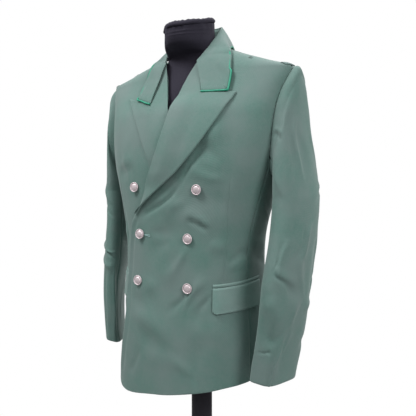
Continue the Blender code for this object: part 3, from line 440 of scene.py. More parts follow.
# ---- curves and surfaces ----------------------------------------------------
def column(table, names, name):
    """One named column of a table."""
    return np.array([row[names.index(name)] for row in table], dtype=float)


def slopes(xs, ys):
    """Slopes at the points of a curve that does not overshoot them."""
    grades = np.diff(ys) / np.diff(xs)
    result = np.empty(len(xs))
    result[0], result[-1] = grades[0], grades[-1]
    before, after = grades[:-1], grades[1:]
    with np.errstate(divide="ignore", invalid="ignore"):
        mean = 2.0 * before * after / (before + after)
    result[1:-1] = np.where(before * after > 0.0, mean, 0.0)
    return result


def curve(xs, ys):
    """A smooth function through the points, for arrays."""
    xs, ys = np.asarray(xs, dtype=float), np.asarray(ys, dtype=float)
    grade = slopes(xs, ys)

    def at(x):
        x = np.clip(x, xs[0], xs[-1])
        i = np.clip(np.searchsorted(xs, x, side="right") - 1, 0, len(xs) - 2)
        step = xs[i + 1] - xs[i]
        t = (x - xs[i]) / step
        a, b = grade[i] * step, grade[i + 1] * step
        return ((2 * t**3 - 3 * t**2 + 1) * ys[i] + (t**3 - 2 * t**2 + t) * a
                + (3 * t**2 - 2 * t**3) * ys[i + 1] + (t**3 - t**2) * b)

    return at


def row_curves(table, names):
    """Functions of the place between a table's rows, one for each column."""
    places = np.arange(len(table))
    return {name: curve(places, column(table, names, name)) for name in names}


RING = {name: curve(column(RINGS, RING_COLUMNS, "height"), column(RINGS, RING_COLUMNS, name))
        for name in RING_COLUMNS[1:]}
HEM_RISE = {side: curve(column(HEM, HEM_COLUMNS, "angle"), column(HEM, HEM_COLUMNS, name))
            for side, name in ((1, "left_rise"), (-1, "right_rise"))}
ROLL_X = curve(column(LAPEL_ROWS[1], LAPEL_COLUMNS, "roll_height"),
               column(LAPEL_ROWS[1], LAPEL_COLUMNS, "roll_x"))


def ease(value, low, high):
    """Smooth step from 0 at low to 1 at high."""
    t = np.clip((np.asarray(value, dtype=float) - low) / (high - low), 0.0, 1.0)
    return t * t * (3.0 - 2.0 * t)


def bump(value, centre, reach):
    """Smooth hump of height 1 about a centre."""
    t = np.minimum(np.abs(np.asarray(value, dtype=float) - centre) / reach, 1.0)
    return (1.0 - t * t) ** 2


def signed_power(value, power):
    return np.copysign(np.abs(value) ** power, value)


def points(x, y, z):
    return np.stack(np.broadcast_arrays(x, y, z), axis=-1)


def unit(vectors):
    return vectors / np.maximum(np.linalg.norm(vectors, axis=-1, keepdims=True), 1e-12)


def skin(degrees, height):
    """Point of the jacket's body; 0 degrees is centre front and +90 the wearer's left side."""
    side, ahead = np.sin(np.radians(degrees)), np.cos(np.radians(degrees))
    ahead = np.where(np.abs(ahead) < 1e-9, 0.0, ahead)
    front = ahead >= 0.0
    depth = np.where(front, RING["front"](height), RING["back"](height))
    power = 2.0 / np.where(front, RING["front_power"](height), RING["back_power"](height))
    x = RING["half_width"](height) * signed_power(side, power)
    y = RING["centre_y"](height) - depth * signed_power(ahead, power)
    return points(x, y, HEM_HEIGHT + height)


def normal(degrees, height):
    """Outward direction of the jacket's body."""
    low = np.clip(height, 0.003, 0.747)
    across = skin(degrees + 0.6, low) - skin(degrees - 0.6, low)
    up = skin(degrees, low + 0.003) - skin(degrees, low - 0.003)
    return unit(np.cross(across, up))


def body(degrees, height, out=0.0):
    """Point a distance out from the jacket's body."""
    return skin(degrees, height) + normal(degrees, height) * np.asarray(out)[..., None]


def angle_at(x, height):
    """Angle on the front half of the body at a given x."""
    share = np.minimum(np.abs(x) / RING["half_width"](height), 1.0)
    return np.copysign(np.degrees(np.arcsin(share ** (RING["front_power"](height) / 2.0))), x)


def front_rise(x, height, side):
    """How far the outer face of a front lies over the body: the left front laps the right."""
    if side < 0:
        return np.zeros(np.broadcast(x, height).shape)
    lap = CLOTH + LAYER + 0.0010
    wide = 1.0 - ease(x, 0.118, 0.150)
    top = 1.0 - ease(height, 0.600, 0.640)
    level = ease(height, 0.440, 0.478) * (1.0 - ease(height, 0.600, 0.640))
    over_lapel = level * (1.0 - ease(x - ROLL_X(height), 0.022, 0.065))
    flare = EDGE_FLARE * (1.0 - ease(x, -0.115, -0.030)) * (1.0 - ease(height, 0.080, 0.300))
    return lap * wide * top + 0.0055 * over_lapel + flare


def with_hem(degrees, height, side):
    """Height after the rise of the hem at that angle."""
    return height + HEM_RISE[side](degrees) * (1.0 - ease(height, 0.0, HEM_REACH))


def mesh_normals(grid):
    """Unit normals of a grid's cells, from its neighbouring points."""
    down = np.gradient(grid, axis=0)
    across = np.gradient(grid, axis=1)
    return unit(np.cross(across, down))


def running(grid, axis):
    """Length along the grid's lines, used as flat cloth coordinates."""
    steps = np.linalg.norm(np.diff(grid, axis=axis), axis=-1)
    start = np.zeros_like(np.take(steps, [0], axis=axis))
    return np.concatenate([start, np.cumsum(steps, axis=axis)], axis=axis)


def spread(count, first=(), last=()):
    """Even steps from 0 to 1 with closer ones at either end."""
    steps = np.linspace(0.0, 1.0, count)
    return np.unique(np.concatenate([steps, first, 1.0 - np.asarray(last, dtype=float)]))


# ---- folds ------------------------------------------------------------------
def folds(a, b, table):
    """Height of soft ridges and troughs, each bowed and uneven, at flat places a, b."""
    total = np.zeros(np.broadcast(a, b).shape)
    for number, row in enumerate(table):
        a0, b0, a1, b1, width, lift = (0.001 * value for value in row)
        length = math.hypot(a1 - a0, b1 - b0)
        along = ((a - a0) * (a1 - a0) + (b - b0) * (b1 - b0)) / length**2
        off = ((a - a0) * (b1 - b0) - (b - b0) * (a1 - a0)) / length
        inside = np.clip(along, 0.0, 1.0)
        turn = 1.0 if number % 2 else -1.0
        bow = turn * 0.07 * length * np.sin(math.pi * inside)
        bow += 0.015 * length * np.sin(7.0 * inside + number)
        reach = width * (0.75 + 0.5 * np.sin(math.pi * (0.15 + 0.7 * inside) + number))
        ends = ease(along, -0.12, 0.30) * (1.0 - ease(along, 0.62, 1.12))
        total += lift * ends * np.exp(-((off - bow) / reach) ** 2)
    return total


def ripple(a, b, size, phase):
    """Slight unevenness of worn cloth."""
    total = np.zeros(np.broadcast(a, b).shape)
    for i in range(9):
        turn = 2.399963 * i + phase
        wave = 52.0 * (1.0 + 0.33 * i)
        place = a * math.cos(turn) + b * math.sin(turn)
        total += np.sin(wave * place + 1.7 * i + phase) / (1 + i)
    return size * total / 2.0


# ---- making pieces ----------------------------------------------------------
def droop(grid):
    """The right shoulder and the collar's right side hang a little lower."""
    grid = np.array(grid, dtype=float)
    x, height = grid[..., 0], grid[..., 2] - HEM_HEIGHT
    share = ease(-x, 0.040, 0.200) * ease(height, 0.540, 0.680)
    beside_neck = ease(-x, 0.026, 0.064) * ease(height, 0.690, 0.740)
    grid[..., 2] -= SHOULDER_DROOP * share + NECK_DROOP * beside_neck * (1.0 - share)
    return grid


def mesh_from_grid(name, grid, coords, flip, closed=False):
    """A surface from a grid of points, with flat cloth coordinates in metres as its UV map."""
    rows, cols = grid.shape[:2]
    index = np.arange(rows * cols).reshape(rows, cols)
    if closed:
        index = np.concatenate([index, index[:, :1]], axis=1)
    quads = np.stack([index[:-1, :-1], index[:-1, 1:], index[1:, 1:], index[1:, :-1]], axis=-1)
    quads = quads.reshape(-1, 4)
    if flip:
        quads = quads[:, ::-1]
    mesh = bpy.data.meshes.new(name)
    mesh.from_pydata(grid.reshape(-1, 3).tolist(), [], quads.tolist())
    layer = mesh.uv_layers.new(name="cloth")
    flat = coords.reshape(-1, 2)[quads.reshape(-1)]
    layer.data.foreach_set("uv", flat.astype(np.float32).reshape(-1))
    mesh.validate()
    return mesh


def add_piece(name, mesh, finish, replaced=(), smooth=True):
    """A new object with its finish, attached to the root body, with the solids that it replaces
    hidden.
    """
    piece = bpy.data.objects.new(name, mesh)
    bpy.context.scene.collection.objects.link(piece)
    mesh.materials.clear()
    mesh.materials.append(finish)
    if smooth:
        mesh.polygons.foreach_set("use_smooth", [True] * len(mesh.polygons))
    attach(piece, "root")
    if replaced:
        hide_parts(*replaced)
    return piece


def thicken(piece, thickness):
    """Gives a surface a wall, on its inner side."""
    wall = piece.modifiers.new("wall", "SOLIDIFY")
    wall.thickness = thickness
    wall.offset = -1.0
    wall.use_even_offset = False


def cloth_shell(name, grid, finish, replaced=(), thickness=WALL, side=1,
                flip=False, plain=None):
    """A cloth panel, thickened inward, with flat cloth coordinates from the shape that it was cut
    to.
    """
    plain = grid if plain is None else plain
    coords = np.stack([running(plain, 1), running(plain, 0)], axis=-1)
    if side < 0:
        grid = grid * MIRROR
        flip = not flip
    piece = add_piece(name, mesh_from_grid(name, droop(grid), coords, flip), finish, replaced)
    thicken(piece, thickness)
    return piece


def raised(grid, relief, outward):
    """A grid moved along its own normals."""
    normals = mesh_normals(grid)
    sign = np.sign(np.sum(normals * outward, axis=-1))
    sign = np.where(sign == 0.0, 1.0, sign)
    return grid + normals * (np.sign(sign.sum()) * relief)[..., None]


def path_lengths(line):
    """Length up to each point of a line."""
    return np.append(0.0, np.cumsum(np.linalg.norm(np.diff(line, axis=0), axis=1)))


def edge_dip(distance, depth, reach):
    """Dip whose depth runs out over a reach from an edge."""
    return -depth * np.exp(-(distance / reach) ** 2)


def edge_relief(plain, columns=(None, None), rows=(None, None)):
    """Dips along a panel's first and last columns and rows, each a depth and a reach."""
    total = 0.0
    for axis, dips in ((1, columns), (0, rows)):
        along = running(plain, axis)
        for dip, distance in zip(dips, (along, np.take(along, [-1], axis=axis) - along)):
            if dip:
                total = total + edge_dip(distance, *dip)
    return total


def capped_mesh(name, grid, coords, flip=False):
    """A tube from rings of points, closed with a flat face at both ends."""
    rings, sides = grid.shape[:2]
    mesh = mesh_from_grid(name, grid, coords, flip, closed=True)
    bm = bmesh.new()
    bm.from_mesh(mesh)
    bm.verts.ensure_lookup_table()
    last = (rings - 1) * sides
    bm.faces.new([bm.verts[i] for i in range(sides)])
    bm.faces.new([bm.verts[last + i] for i in range(sides)][::-1])
    bmesh.ops.recalc_face_normals(bm, faces=bm.faces)
    bm.to_mesh(mesh)
    bm.free()
    return mesh


def tube_piece(name, line, radius, finish, sides=8, replaced=()):
    """A round cord along a line of points."""
    along = unit(np.gradient(line, axis=0))
    across = unit(np.cross(along, UP))
    up = np.cross(across, along)
    turns = np.linspace(0.0, 2.0 * math.pi, sides, endpoint=False)
    ring = (across[:, None] * np.cos(turns)[None, :, None]
            + up[:, None] * np.sin(turns)[None, :, None])
    grid = line[:, None] + ring * radius
    coords = np.stack(np.broadcast_arrays((turns * 0.002)[None, :], running(line[:, None], 0)),
                      axis=-1)
    return add_piece(name, capped_mesh(name, grid, coords, flip=True), finish, replaced)


def turned_mesh(name, profile, steps, engrave=None):
    """A solid of revolution about Z; engrave(turns, radius, height) gives new heights."""
    profile = np.asarray(profile, dtype=float)
    turns = np.linspace(0.0, 2.0 * math.pi, steps, endpoint=False)
    radius, height = (profile[:, k:k + 1] * np.ones((1, steps)) for k in (0, 1))
    if engrave is not None:
        height = engrave(turns[None, :], radius, height)
    grid = points(radius * np.cos(turns), radius * np.sin(turns), height)
    coords = np.stack([np.broadcast_to(turns * 0.01, radius.shape), height], axis=-1)
    mesh = mesh_from_grid(name, grid, coords, flip=False, closed=True)
    bm = bmesh.new()
    bm.from_mesh(mesh)
    bmesh.ops.remove_doubles(bm, verts=bm.verts, dist=1e-6)
    bmesh.ops.recalc_face_normals(bm, faces=bm.faces)
    bm.to_mesh(mesh)
    bm.free()
    return mesh


# ---- jacket body ------------------------------------------------------------
FRONT_PLACE = row_curves(FRONT_ROWS, FRONT_COLUMNS)
BACK_PLACE = row_curves(BACK_ROWS, BACK_COLUMNS)
DART_X = curve(column(DART, DART_COLUMNS, "height"), column(DART, DART_COLUMNS, "x"))


def front_frame(side, rows, cols):
    """Angles, heights and levels of a front's grid, with close columns along the dart."""
    place = rows * (len(FRONT_ROWS) - 1)
    inner_x, inner_height, outer, outer_height = (
        FRONT_PLACE[name](place) for name in FRONT_COLUMNS)
    outer = outer - PANEL_GAP_ANGLE
    inner = angle_at(inner_x, inner_height)
    dart_height = np.clip(0.5 * (inner_height + outer_height), *DART_REACH)
    dart = (angle_at(DART_X(dart_height), dart_height) - inner) / (outer - inner)
    dart = np.clip(dart, 0.40, 0.90)[:, None]
    close = np.array(DART_STEPS) / FRONT_WIDTH
    before = cols[None, :] * (dart + close[0] - DART_MARGIN)
    after = (dart + close[-1] + DART_MARGIN
             + cols[None, :] * (1.0 - dart - close[-1] - DART_MARGIN))
    t = np.concatenate([before, dart + close[None, :], after], axis=1)
    degrees = inner[:, None] + (outer - inner)[:, None] * t
    level = inner_height[:, None] + (outer_height - inner_height)[:, None] * ease(t, 0.0, 1.0)
    return degrees, with_hem(degrees, level, side), level


def front_piece(side, word):
    """A front: creases, dart, seams, and on the left the turned front edge."""
    rows, cols = (spread(count, EDGE_STEPS, EDGE_STEPS) for count in FRONT_GRID[side])
    degrees, height, level = front_frame(side, rows, cols)
    x = skin(degrees, height)[..., 0]
    plain = body(degrees, height, front_rise(x, height, side))
    relief = folds(x, height, LEFT_FRONT_FOLDS if side > 0 else RIGHT_FRONT_FOLDS)
    relief += ripple(x, height, 0.00035, 0.4 if side > 0 else 2.1)
    in_dart = ease(level, 0.255, 0.275) * (1.0 - ease(level, 0.440, 0.478))
    off = x - DART_X(np.clip(level, *DART_REACH))
    relief += in_dart * (edge_dip(off, 0.0009, 0.0013) + 0.0012 * bump(off, 0.0, 0.018))
    relief += edge_relief(plain, columns=(None, SEAM_DIP), rows=(HEM_DIP, SEAM_DIP))
    width = running(plain, 1)
    relief += edge_dip(width, 0.0007, 0.0016) * (1.0 - ease(level, 0.380, 0.400))
    if side > 0:
        turned = bump(width, 0.0050, 0.0060) - 0.8 * bump(width, 0.0170, 0.0080)
        below_lapel = ease(level, 0.020, 0.060) * (1.0 - ease(level, 0.360, 0.390))
        relief += LEFT_EDGE_ROLL * turned * below_lapel
    calm = 1.0 - 0.8 * ease(level, 0.66, 0.73)
    grid = raised(plain, relief * calm, normal(degrees, height))
    return cloth_shell(word + "_front_cloth", grid, CLOTH_FINISH, replaced=[word + "_front"],
                       side=side, plain=plain)


def side_piece(side, word):
    """The strip under the arm between front and back."""
    tops = curve(*np.array(ARMHOLE[UNDERARM]).T)
    rows, cols = (spread(count, EDGE_STEPS, EDGE_STEPS) for count in SIDE_GRID)
    degrees = (FRONT_SEAM_ANGLE + PANEL_GAP_ANGLE
               + (BACK_SEAM_ANGLE - FRONT_SEAM_ANGLE - 2.0 * PANEL_GAP_ANGLE) * cols[None, :])
    height = with_hem(degrees, (tops(degrees) - 0.0010) * rows[:, None], side)
    degrees = np.broadcast_to(degrees, height.shape)
    plain = body(degrees, height)
    a = np.radians(degrees - 0.5 * (FRONT_SEAM_ANGLE + BACK_SEAM_ANGLE)) * 0.17
    relief = folds(a, height, SIDE_FOLDS) + ripple(a, height, 0.0003, 1.3 * side)
    relief += edge_relief(plain, columns=(SEAM_DIP, SEAM_DIP), rows=(HEM_DIP, (0.0012, 0.0030)))
    grid = raised(plain, relief, normal(degrees, height))
    return cloth_shell(word + "_side_cloth", grid, CLOTH_FINISH, replaced=[word + "_side"],
                       side=side, plain=plain)


def back_piece(side, word):
    """Half of the back, from the side seam to the centre seam and up to the neck."""
    s, t = (spread(count, EDGE_STEPS, EDGE_STEPS) for count in BACK_GRID)
    s, t = s[:, None], t[None, :]
    place = s * (len(BACK_ROWS) - 1)
    outer, outer_height, inner_height = (BACK_PLACE[name](place) for name in BACK_COLUMNS)
    outer = outer + PANEL_GAP_ANGLE
    inner = 180.0 - PANEL_GAP_ANGLE
    bend = ease(s, 0.45, 1.0)
    degrees = outer + (inner - outer) * t
    height = outer_height + (inner_height - outer_height) * ease(t, 0.0, 1.0)
    low = np.minimum(t / NECK_SHARE, 1.0)
    high = np.maximum((t - NECK_SHARE) / (1.0 - NECK_SHARE), 0.0)
    before = t < NECK_SHARE
    top_angle = np.where(before, outer + (NECK_POINT[0] - outer) * low,
                         NECK_POINT[0] + (inner - NECK_POINT[0]) * high)
    top_height = np.where(before, outer_height + (NECK_POINT[1] - outer_height) * low,
                          NECK_POINT[1] + (inner_height - NECK_POINT[1]) * high)
    degrees = degrees + (top_angle - degrees) * bend
    height = height + (top_height - height) * bend**2
    height = with_hem(degrees, height, side)
    plain = body(degrees, height)
    a = (180.0 - degrees) * 0.0023
    relief = folds(a, height, LEFT_BACK_FOLDS if side > 0 else RIGHT_BACK_FOLDS)
    relief += ripple(a, height, 0.00035, 3.0 + side)
    relief += edge_relief(plain, columns=(SEAM_DIP, (0.0009, 0.0015)), rows=(HEM_DIP, SEAM_DIP))
    grid = raised(plain, relief * (1.0 - 0.8 * ease(s, 0.88, 1.0)), normal(degrees, height))
    return cloth_shell(word + "_back_cloth", grid, CLOTH_FINISH, replaced=[word + "_back"],
                       side=side, plain=plain)


# ---- sleeves ----------------------------------------------------------------
def armhole_curves():
    """Armhole edge by share: 0 shoulder, 0.5 front, 1 under the arm, 1.5 back, 2 shoulder."""
    angles, heights = (column(ARMHOLE, ARMHOLE_COLUMNS, name) for name in ARMHOLE_COLUMNS)
    edge = skin(np.append(angles, angles[0]), np.append(heights, heights[0]))
    low = 9
    shares = []
    for half, start in ((edge[:low + 1], 0.0), (edge[low:], 1.0)):
        lengths = path_lengths(half)
        shares.append(start + lengths / lengths[-1])
    front = [curve(shares[0], edge[:low + 1, k]) for k in range(3)]
    back = [curve(shares[1], edge[low:, k]) for k in range(3)]
    return front, back


ARMHOLE_FRONT, ARMHOLE_BACK = armhole_curves()
SLEEVE_PLACE = {side: row_curves(table, SLEEVE_COLUMNS)
                for side, table in ((1, LEFT_SLEEVE), (-1, RIGHT_SLEEVE))}


def armhole_point(share):
    """Point of the armhole edge at a share from 0 to 2."""
    return np.stack([np.where(share <= 1.0, f(share), b(share))
                     for f, b in zip(ARMHOLE_FRONT, ARMHOLE_BACK)], axis=-1)


def sleeve_ring(side, place, share):
    """Point of a hanging sleeve; place counts its rows and share goes round it."""
    row = {name: at(place) for name, at in SLEEVE_PLACE[side].items()}
    angle = math.pi * share
    turn = np.radians(row["turn"])
    low, high = SLEEVE_POWER[side]
    power = low + (high - low) * ease(row["height"], 0.070, 0.300)
    outward = signed_power(np.cos(angle), power) * (row["half_thick"] + CLOTH)
    ahead = signed_power(np.sin(angle), power) * (row["half_depth"] + CLOTH)
    x = row["centre_x"] + outward * np.cos(turn) - ahead * np.sin(turn)
    y = row["centre_y"] - outward * np.sin(turn) - ahead * np.cos(turn)
    rise = ahead * np.tan(np.radians(row["tilt"])) + outward * np.tan(np.radians(row["roll"]))
    return points(x, y, HEM_HEIGHT + row["height"] + rise)


def sleeve_head(side, share, t):
    """Point between the armhole and the first ring, on a curve out over the shoulder."""
    start = armhole_point(share)
    end = sleeve_ring(side, np.zeros_like(share), share)
    top = (0.5 + 0.5 * np.cos(math.pi * share))[..., None]
    beside = np.abs(np.sin(math.pi * share))[..., None]
    fall = start[..., 2] - end[..., 2]
    sideways = points(0.8, np.where(share < 1.0, -0.45, 0.45), -0.15)
    away, under = np.array([1.0, 0.0, -0.04]), np.array([0.5, 0.0, -0.8])
    lead = away * (0.042 * top) + sideways * (0.022 * beside) + under * (0.007 * (1.0 - top))
    first = start + np.array([0.0005, 0.0, 0.0])
    above = end + points(-0.020 * top[..., 0], 0.0, 0.60 * fall)
    t = t[..., None]
    spot = (first * (1 - t)**3 + (first + lead) * (3 * t * (1 - t)**2)
            + above * (3 * t * t * (1 - t)) + end * t**3)
    depth, middle, reach = HEAD_HOLLOW[side]
    spot[..., 0] -= depth * top[..., 0] * bump(t[..., 0], middle, reach)
    return spot


def sleeve_surface(side, share, along):
    """Sleeve surface; along 0 armhole, 1 first ring, 2 hem."""
    share = np.mod(share, 2.0)
    head = sleeve_head(side, share, np.minimum(along, 1.0))
    place = np.maximum(along - 1.0, 0.0) * (len(LEFT_SLEEVE) - 1)
    tube = sleeve_ring(side, place, share)
    return np.where((along < 1.0)[..., None], head, tube)


def sleeve_cloth(side, word, part, shares):
    """The upper or under piece of a sleeve."""
    levels = np.unique(np.concatenate([EDGE_STEPS, np.linspace(0.0, 1.0, SLEEVE_ROWS[0]) ** 1.15,
                                       1.0 + spread(SLEEVE_ROWS[1], (), EDGE_STEPS)]))
    share, along = np.meshgrid(shares, levels)
    plain = sleeve_surface(side, share, along)
    a = SLEEVE_HALF * (share - (2.0 if part == "upper" else 1.0))
    b = plain[..., 2] - HEM_HEIGHT
    relief = folds(a, b, SLEEVE_FOLDS[(side, part)]) * ease(along, 0.02, 0.16)
    relief += ripple(a, b, 0.00045, side + len(part)) * ease(along, 0.05, 0.3)
    relief += edge_relief(plain, columns=((0.0010, 0.0016), (0.0010, 0.0016)),
                          rows=((0.0007, 0.0020), (0.0008, 0.0020)))
    top = 0.5 + 0.5 * np.cos(math.pi * share)
    relief += 0.0040 * top * bump(running(plain, 0), 0.014, 0.014)
    place = np.maximum(along - 1.0, 0.0) * (len(LEFT_SLEEVE) - 1)
    middle = points(SLEEVE_PLACE[side]["centre_x"](place), SLEEVE_PLACE[side]["centre_y"](place),
                    plain[..., 2])
    grid = raised(plain, relief, plain - middle)
    return cloth_shell(f"{word}_{part}_sleeve_cloth", grid, CLOTH_FINISH,
                       replaced=[f"{word}_{part}_sleeve"], side=side,
                       plain=plain)


def sleeves():
    """Both sleeves, in two pieces each, and the seams that set them in."""
    low, high = UNDER_SLEEVE
    under, upper = (start + SLEEVE_GAP + (end - start - 2 * SLEEVE_GAP)
                    * spread(count, EDGE_STEPS, EDGE_STEPS)
                    for start, end, count in ((low, high, UNDER_SLEEVE_STEPS),
                                              (high, 2.0 + low, UPPER_SLEEVE_STEPS)))
    for side, word in SIDES:
        sleeve_cloth(side, word, "upper", upper)
        sleeve_cloth(side, word, "under", under)
        line = armhole_point(np.mod(np.linspace(0.0, 2.0, 240), 2.0))
        line = droop((line - np.array([0.0012, 0.0, 0.0])) * np.array([side, 1.0, 1.0]))
        tube_piece(word + "_armhole_seam", line, 0.0016, CLOTH_FINISH)


# ---- lapels and collar ------------------------------------------------------
LAPEL_PLACE = {side: row_curves(LAPEL_ROWS[side] + ((*LAPEL_TOP[side][0], *LAPEL_TOP[side][2]),),
                                LAPEL_COLUMNS) for side in (1, -1)}
COLLAR_PLACE = {side: row_curves(COLLAR[side], COLLAR_COLUMNS) for side in (1, -1)}


def lapel_flat(side, s, t):
    """Place on the lapel as (x, height); s up the roll line, t from roll to edge."""
    place = s * len(LAPEL_ROWS[side])
    row = {name: at(place) for name, at in LAPEL_PLACE[side].items()}
    roll = np.stack([row["roll_x"], row["roll_height"]], axis=-1)
    edge = np.stack([row["edge_x"], row["edge_height"]], axis=-1)
    top = np.array(LAPEL_TOP[side])
    t = t[..., None]
    spot = roll + (edge - roll) * t
    bent = np.where(t < NOTCH, top[0] + (top[1] - top[0]) * (t / NOTCH),
                    top[1] + (top[2] - top[1]) * ((t - NOTCH) / (1.0 - NOTCH)))
    straight = top[0] + (top[2] - top[0]) * t
    return spot + (bent - straight) * (ease(s, 0.30, 1.0) ** 2)[..., None]


def rolled(grid, outward, radius, steps):
    """Adds a rounded fold before the first column, turning under the cloth."""
    start = grid[:, 0]
    way = unit(start - grid[:, 2])
    face = outward[:, 0]
    face = unit(face - way * np.sum(face * way, axis=-1, keepdims=True))
    turns = np.linspace(math.pi * 0.98, 0.0, steps, endpoint=False)
    under = [start - face * radius + (face * math.cos(turn) + way * math.sin(turn)) * radius
             for turn in turns]
    return np.concatenate([np.stack(under, axis=1), grid], axis=1)


def lapel_piece(side, word, start, hidden=False):
    """A lapel from a share of its roll line up; a hidden one is cut back to the roll line."""
    s = start + (1.0 - start) * spread(130, EDGE_STEPS, EDGE_STEPS)
    t = np.unique(np.append(spread(46, (), EDGE_STEPS), [NOTCH - 0.012, NOTCH, NOTCH + 0.012]))
    t, s = np.meshgrid(t, s)
    flat = lapel_flat(side, s, t)
    x, height = flat[..., 0], flat[..., 1]
    if hidden:
        x = np.maximum(x, -ROLL_X(height) - 0.015)
    full = 0.0030 if side > 0 else 0.0010
    belly = full * np.sin(math.pi * np.minimum(t * 1.05, 1.0)) * (0.35 + 0.65 * s)
    if side > 0:
        belly = belly + 0.0045 * t * ease(s, 0.02, 0.16) * (1.0 - ease(s, 0.45, 0.95)) + 0.0010 * t
    rise = front_rise(x, height, side) + CLOTH + LAYER + 0.0008 + belly
    degrees = angle_at(x, height)
    outward = normal(degrees, height)
    plain = skin(degrees, height) + outward * rise[..., None]
    relief = folds(x, height, LAPEL_FOLDS) + ripple(x, height, 0.00022, 5.0 * side)
    relief += edge_relief(plain, columns=(None, (0.0010, 0.0015)), rows=(None, (0.0009, 0.0013)))
    roll = (0.0010, 7) if hidden else (0.0017, 9)
    grid = raised(plain, relief, outward)
    whole, flatter = (rolled(cloth, outward, *roll) for cloth in (grid, plain))
    return cloth_shell(word + "_lapel_cloth", whole, CLOTH_FINISH, replaced=[word + "_lapel"],
                       thickness=0.0012, side=side,
                       plain=flatter)


def collar_surface(side, place, t):
    """Collar fall; place runs over the stations and t from the fold line to the edge."""
    row = {name: at(place) for name, at in COLLAR_PLACE[side].items()}
    fold = points(row["fold_x"], row["fold_y"], row["fold_height"])
    edge = points(row["edge_x"], row["edge_y"], row["edge_height"])
    back = ease(place, 5.0, 10.0)
    lift = (edge - fold) * np.array([1.0, 1.0, 0.0]) * (0.02 + 0.08 * back)[..., None]
    middle = fold + (edge - fold) * 0.42 + lift + np.array([0.0, 0.0, 0.003])
    t3 = t[..., None]
    spot = fold * (1 - t3)**2 + middle * (2 * t3 * (1 - t3)) + edge * t3 * t3
    height = np.minimum(spot[..., 2], 0.712)
    rest = skin(angle_at(spot[..., 0], height), height)[..., 1]
    limit = rest - (CLOTH + LAYER + CLOTH + 0.0026 + 0.003 * np.sin(math.pi * t))
    share = (1.0 - ease(place, 6.0, 8.0)) * (1.0 - ease(spot[..., 2], 0.700, 0.730))
    over = np.maximum(spot[..., 1] - limit, 0.0)
    spot[..., 1] -= over * share
    spot[..., 2] += HEM_HEIGHT
    return spot


def both_halves(left, right):
    """Stations from one end of the collar round the back to the other end."""
    return np.concatenate([left, right[:-1][::-1] * MIRROR], axis=0)


def stand_surface(place, t):
    """Collar stand; place runs over its stations and t from its top to its foot."""
    station = STAND_START + place
    fold = points(*(COLLAR_PLACE[1][name](station) for name in COLLAR_COLUMNS[:3]))
    foot = points(*(STAND_PLACE[name](np.maximum(place, 0.0)) for name in STAND_COLUMNS))
    inward = unit(points(-fold[..., 0], -fold[..., 1] - 0.035, 0.0)) * 0.0016
    fold = fold + inward - np.array([0.0, 0.0, 0.0020])
    t3 = t[..., None]
    return fold + (foot - fold) * t3 + np.array([0.0, 0.0, HEM_HEIGHT])


STAND_PLACE = row_curves(STAND, STAND_COLUMNS)


def collar_edge(side, distance):
    """The collar's outer edge as one line; past its corner it is tucked under the cloth."""
    place = np.unique(np.append(np.linspace(0.0, LAST_STATION, 150), CORNER_STATIONS))
    half = collar_surface(side, place[:, None], np.array([[0.93, 1.0]]) + 0.0 * place[:, None])
    along = unit(np.gradient(half[:, 1], axis=0))
    out = half[:, 1] - half[:, 0]
    out = unit(out - along * np.sum(out * along, axis=-1, keepdims=True))
    tuck = ease(place, *PIPING_TUCK[side])[:, None]
    edge = half[:, 1]
    under = unit(points(-edge[:, 0], -edge[:, 1] - 0.02, 0.0)) * 0.5 - np.array([0.0, 0.0, 0.8])
    return edge + out * (distance - 0.0042 * tuck) + under * (0.0026 * tuck)


def collar_pieces():
    """The collar's fall, its stand and the piping along its edge."""
    close = (0.02, 0.06) + CORNER_STATIONS
    place = np.unique(np.append(np.linspace(0.0, LAST_STATION, 140), close))
    t, rows = np.meshgrid(spread(34, (), EDGE_STEPS), place)
    plain = both_halves(*(collar_surface(side, rows, t) for side, _ in SIDES))
    outward = plain - np.array([0.0, -0.02, 0.0])
    outward[..., 2] = 0.25 * np.linalg.norm(outward[..., :2], axis=-1)
    a, b = running(plain, 0), plain[..., 2] - HEM_HEIGHT
    relief = folds(a, b, COLLAR_FOLDS) + ripple(a, b, 0.00025, 0.7)
    relief += edge_relief(plain, columns=(None, (0.0008, 0.0014)))
    normals = mesh_normals(plain)
    sign = np.sign(np.sum(normals * outward))
    grid = plain + normals * (sign * relief)[..., None]
    whole, flatter = (rolled(cloth, normals * sign, 0.0017, 9) for cloth in (grid, plain))
    cloth_shell("collar_fall_cloth", whole, CLOTH_FINISH, replaced=["collar_fall"],
                thickness=0.0014, plain=flatter)
    t, rows = np.meshgrid(spread(8), np.linspace(-2.5, 9.0, 84))
    stand = stand_surface(rows, t)
    cloth_shell("collar_stand_cloth", both_halves(stand, stand), CLOTH_FINISH,
                replaced=["collar_stand"], thickness=0.0014)
    whole = both_halves(*(collar_edge(side, PIPING_RADIUS + 0.0002) for side, _ in SIDES))
    tube_piece("collar_piping_cord", droop(whole), PIPING_RADIUS, PIPING_FINISH,
               sides=10, replaced=["collar_piping"])


# ---- pockets, loops, buttonholes and stitches -------------------------------
def surface_on_body(side, x, height, out):
    """Points a given distance over a front's outer face, for places given by x and height."""
    degrees = angle_at(x, height)
    rise = front_rise(x, height, side) + out
    return body(degrees, height, rise)


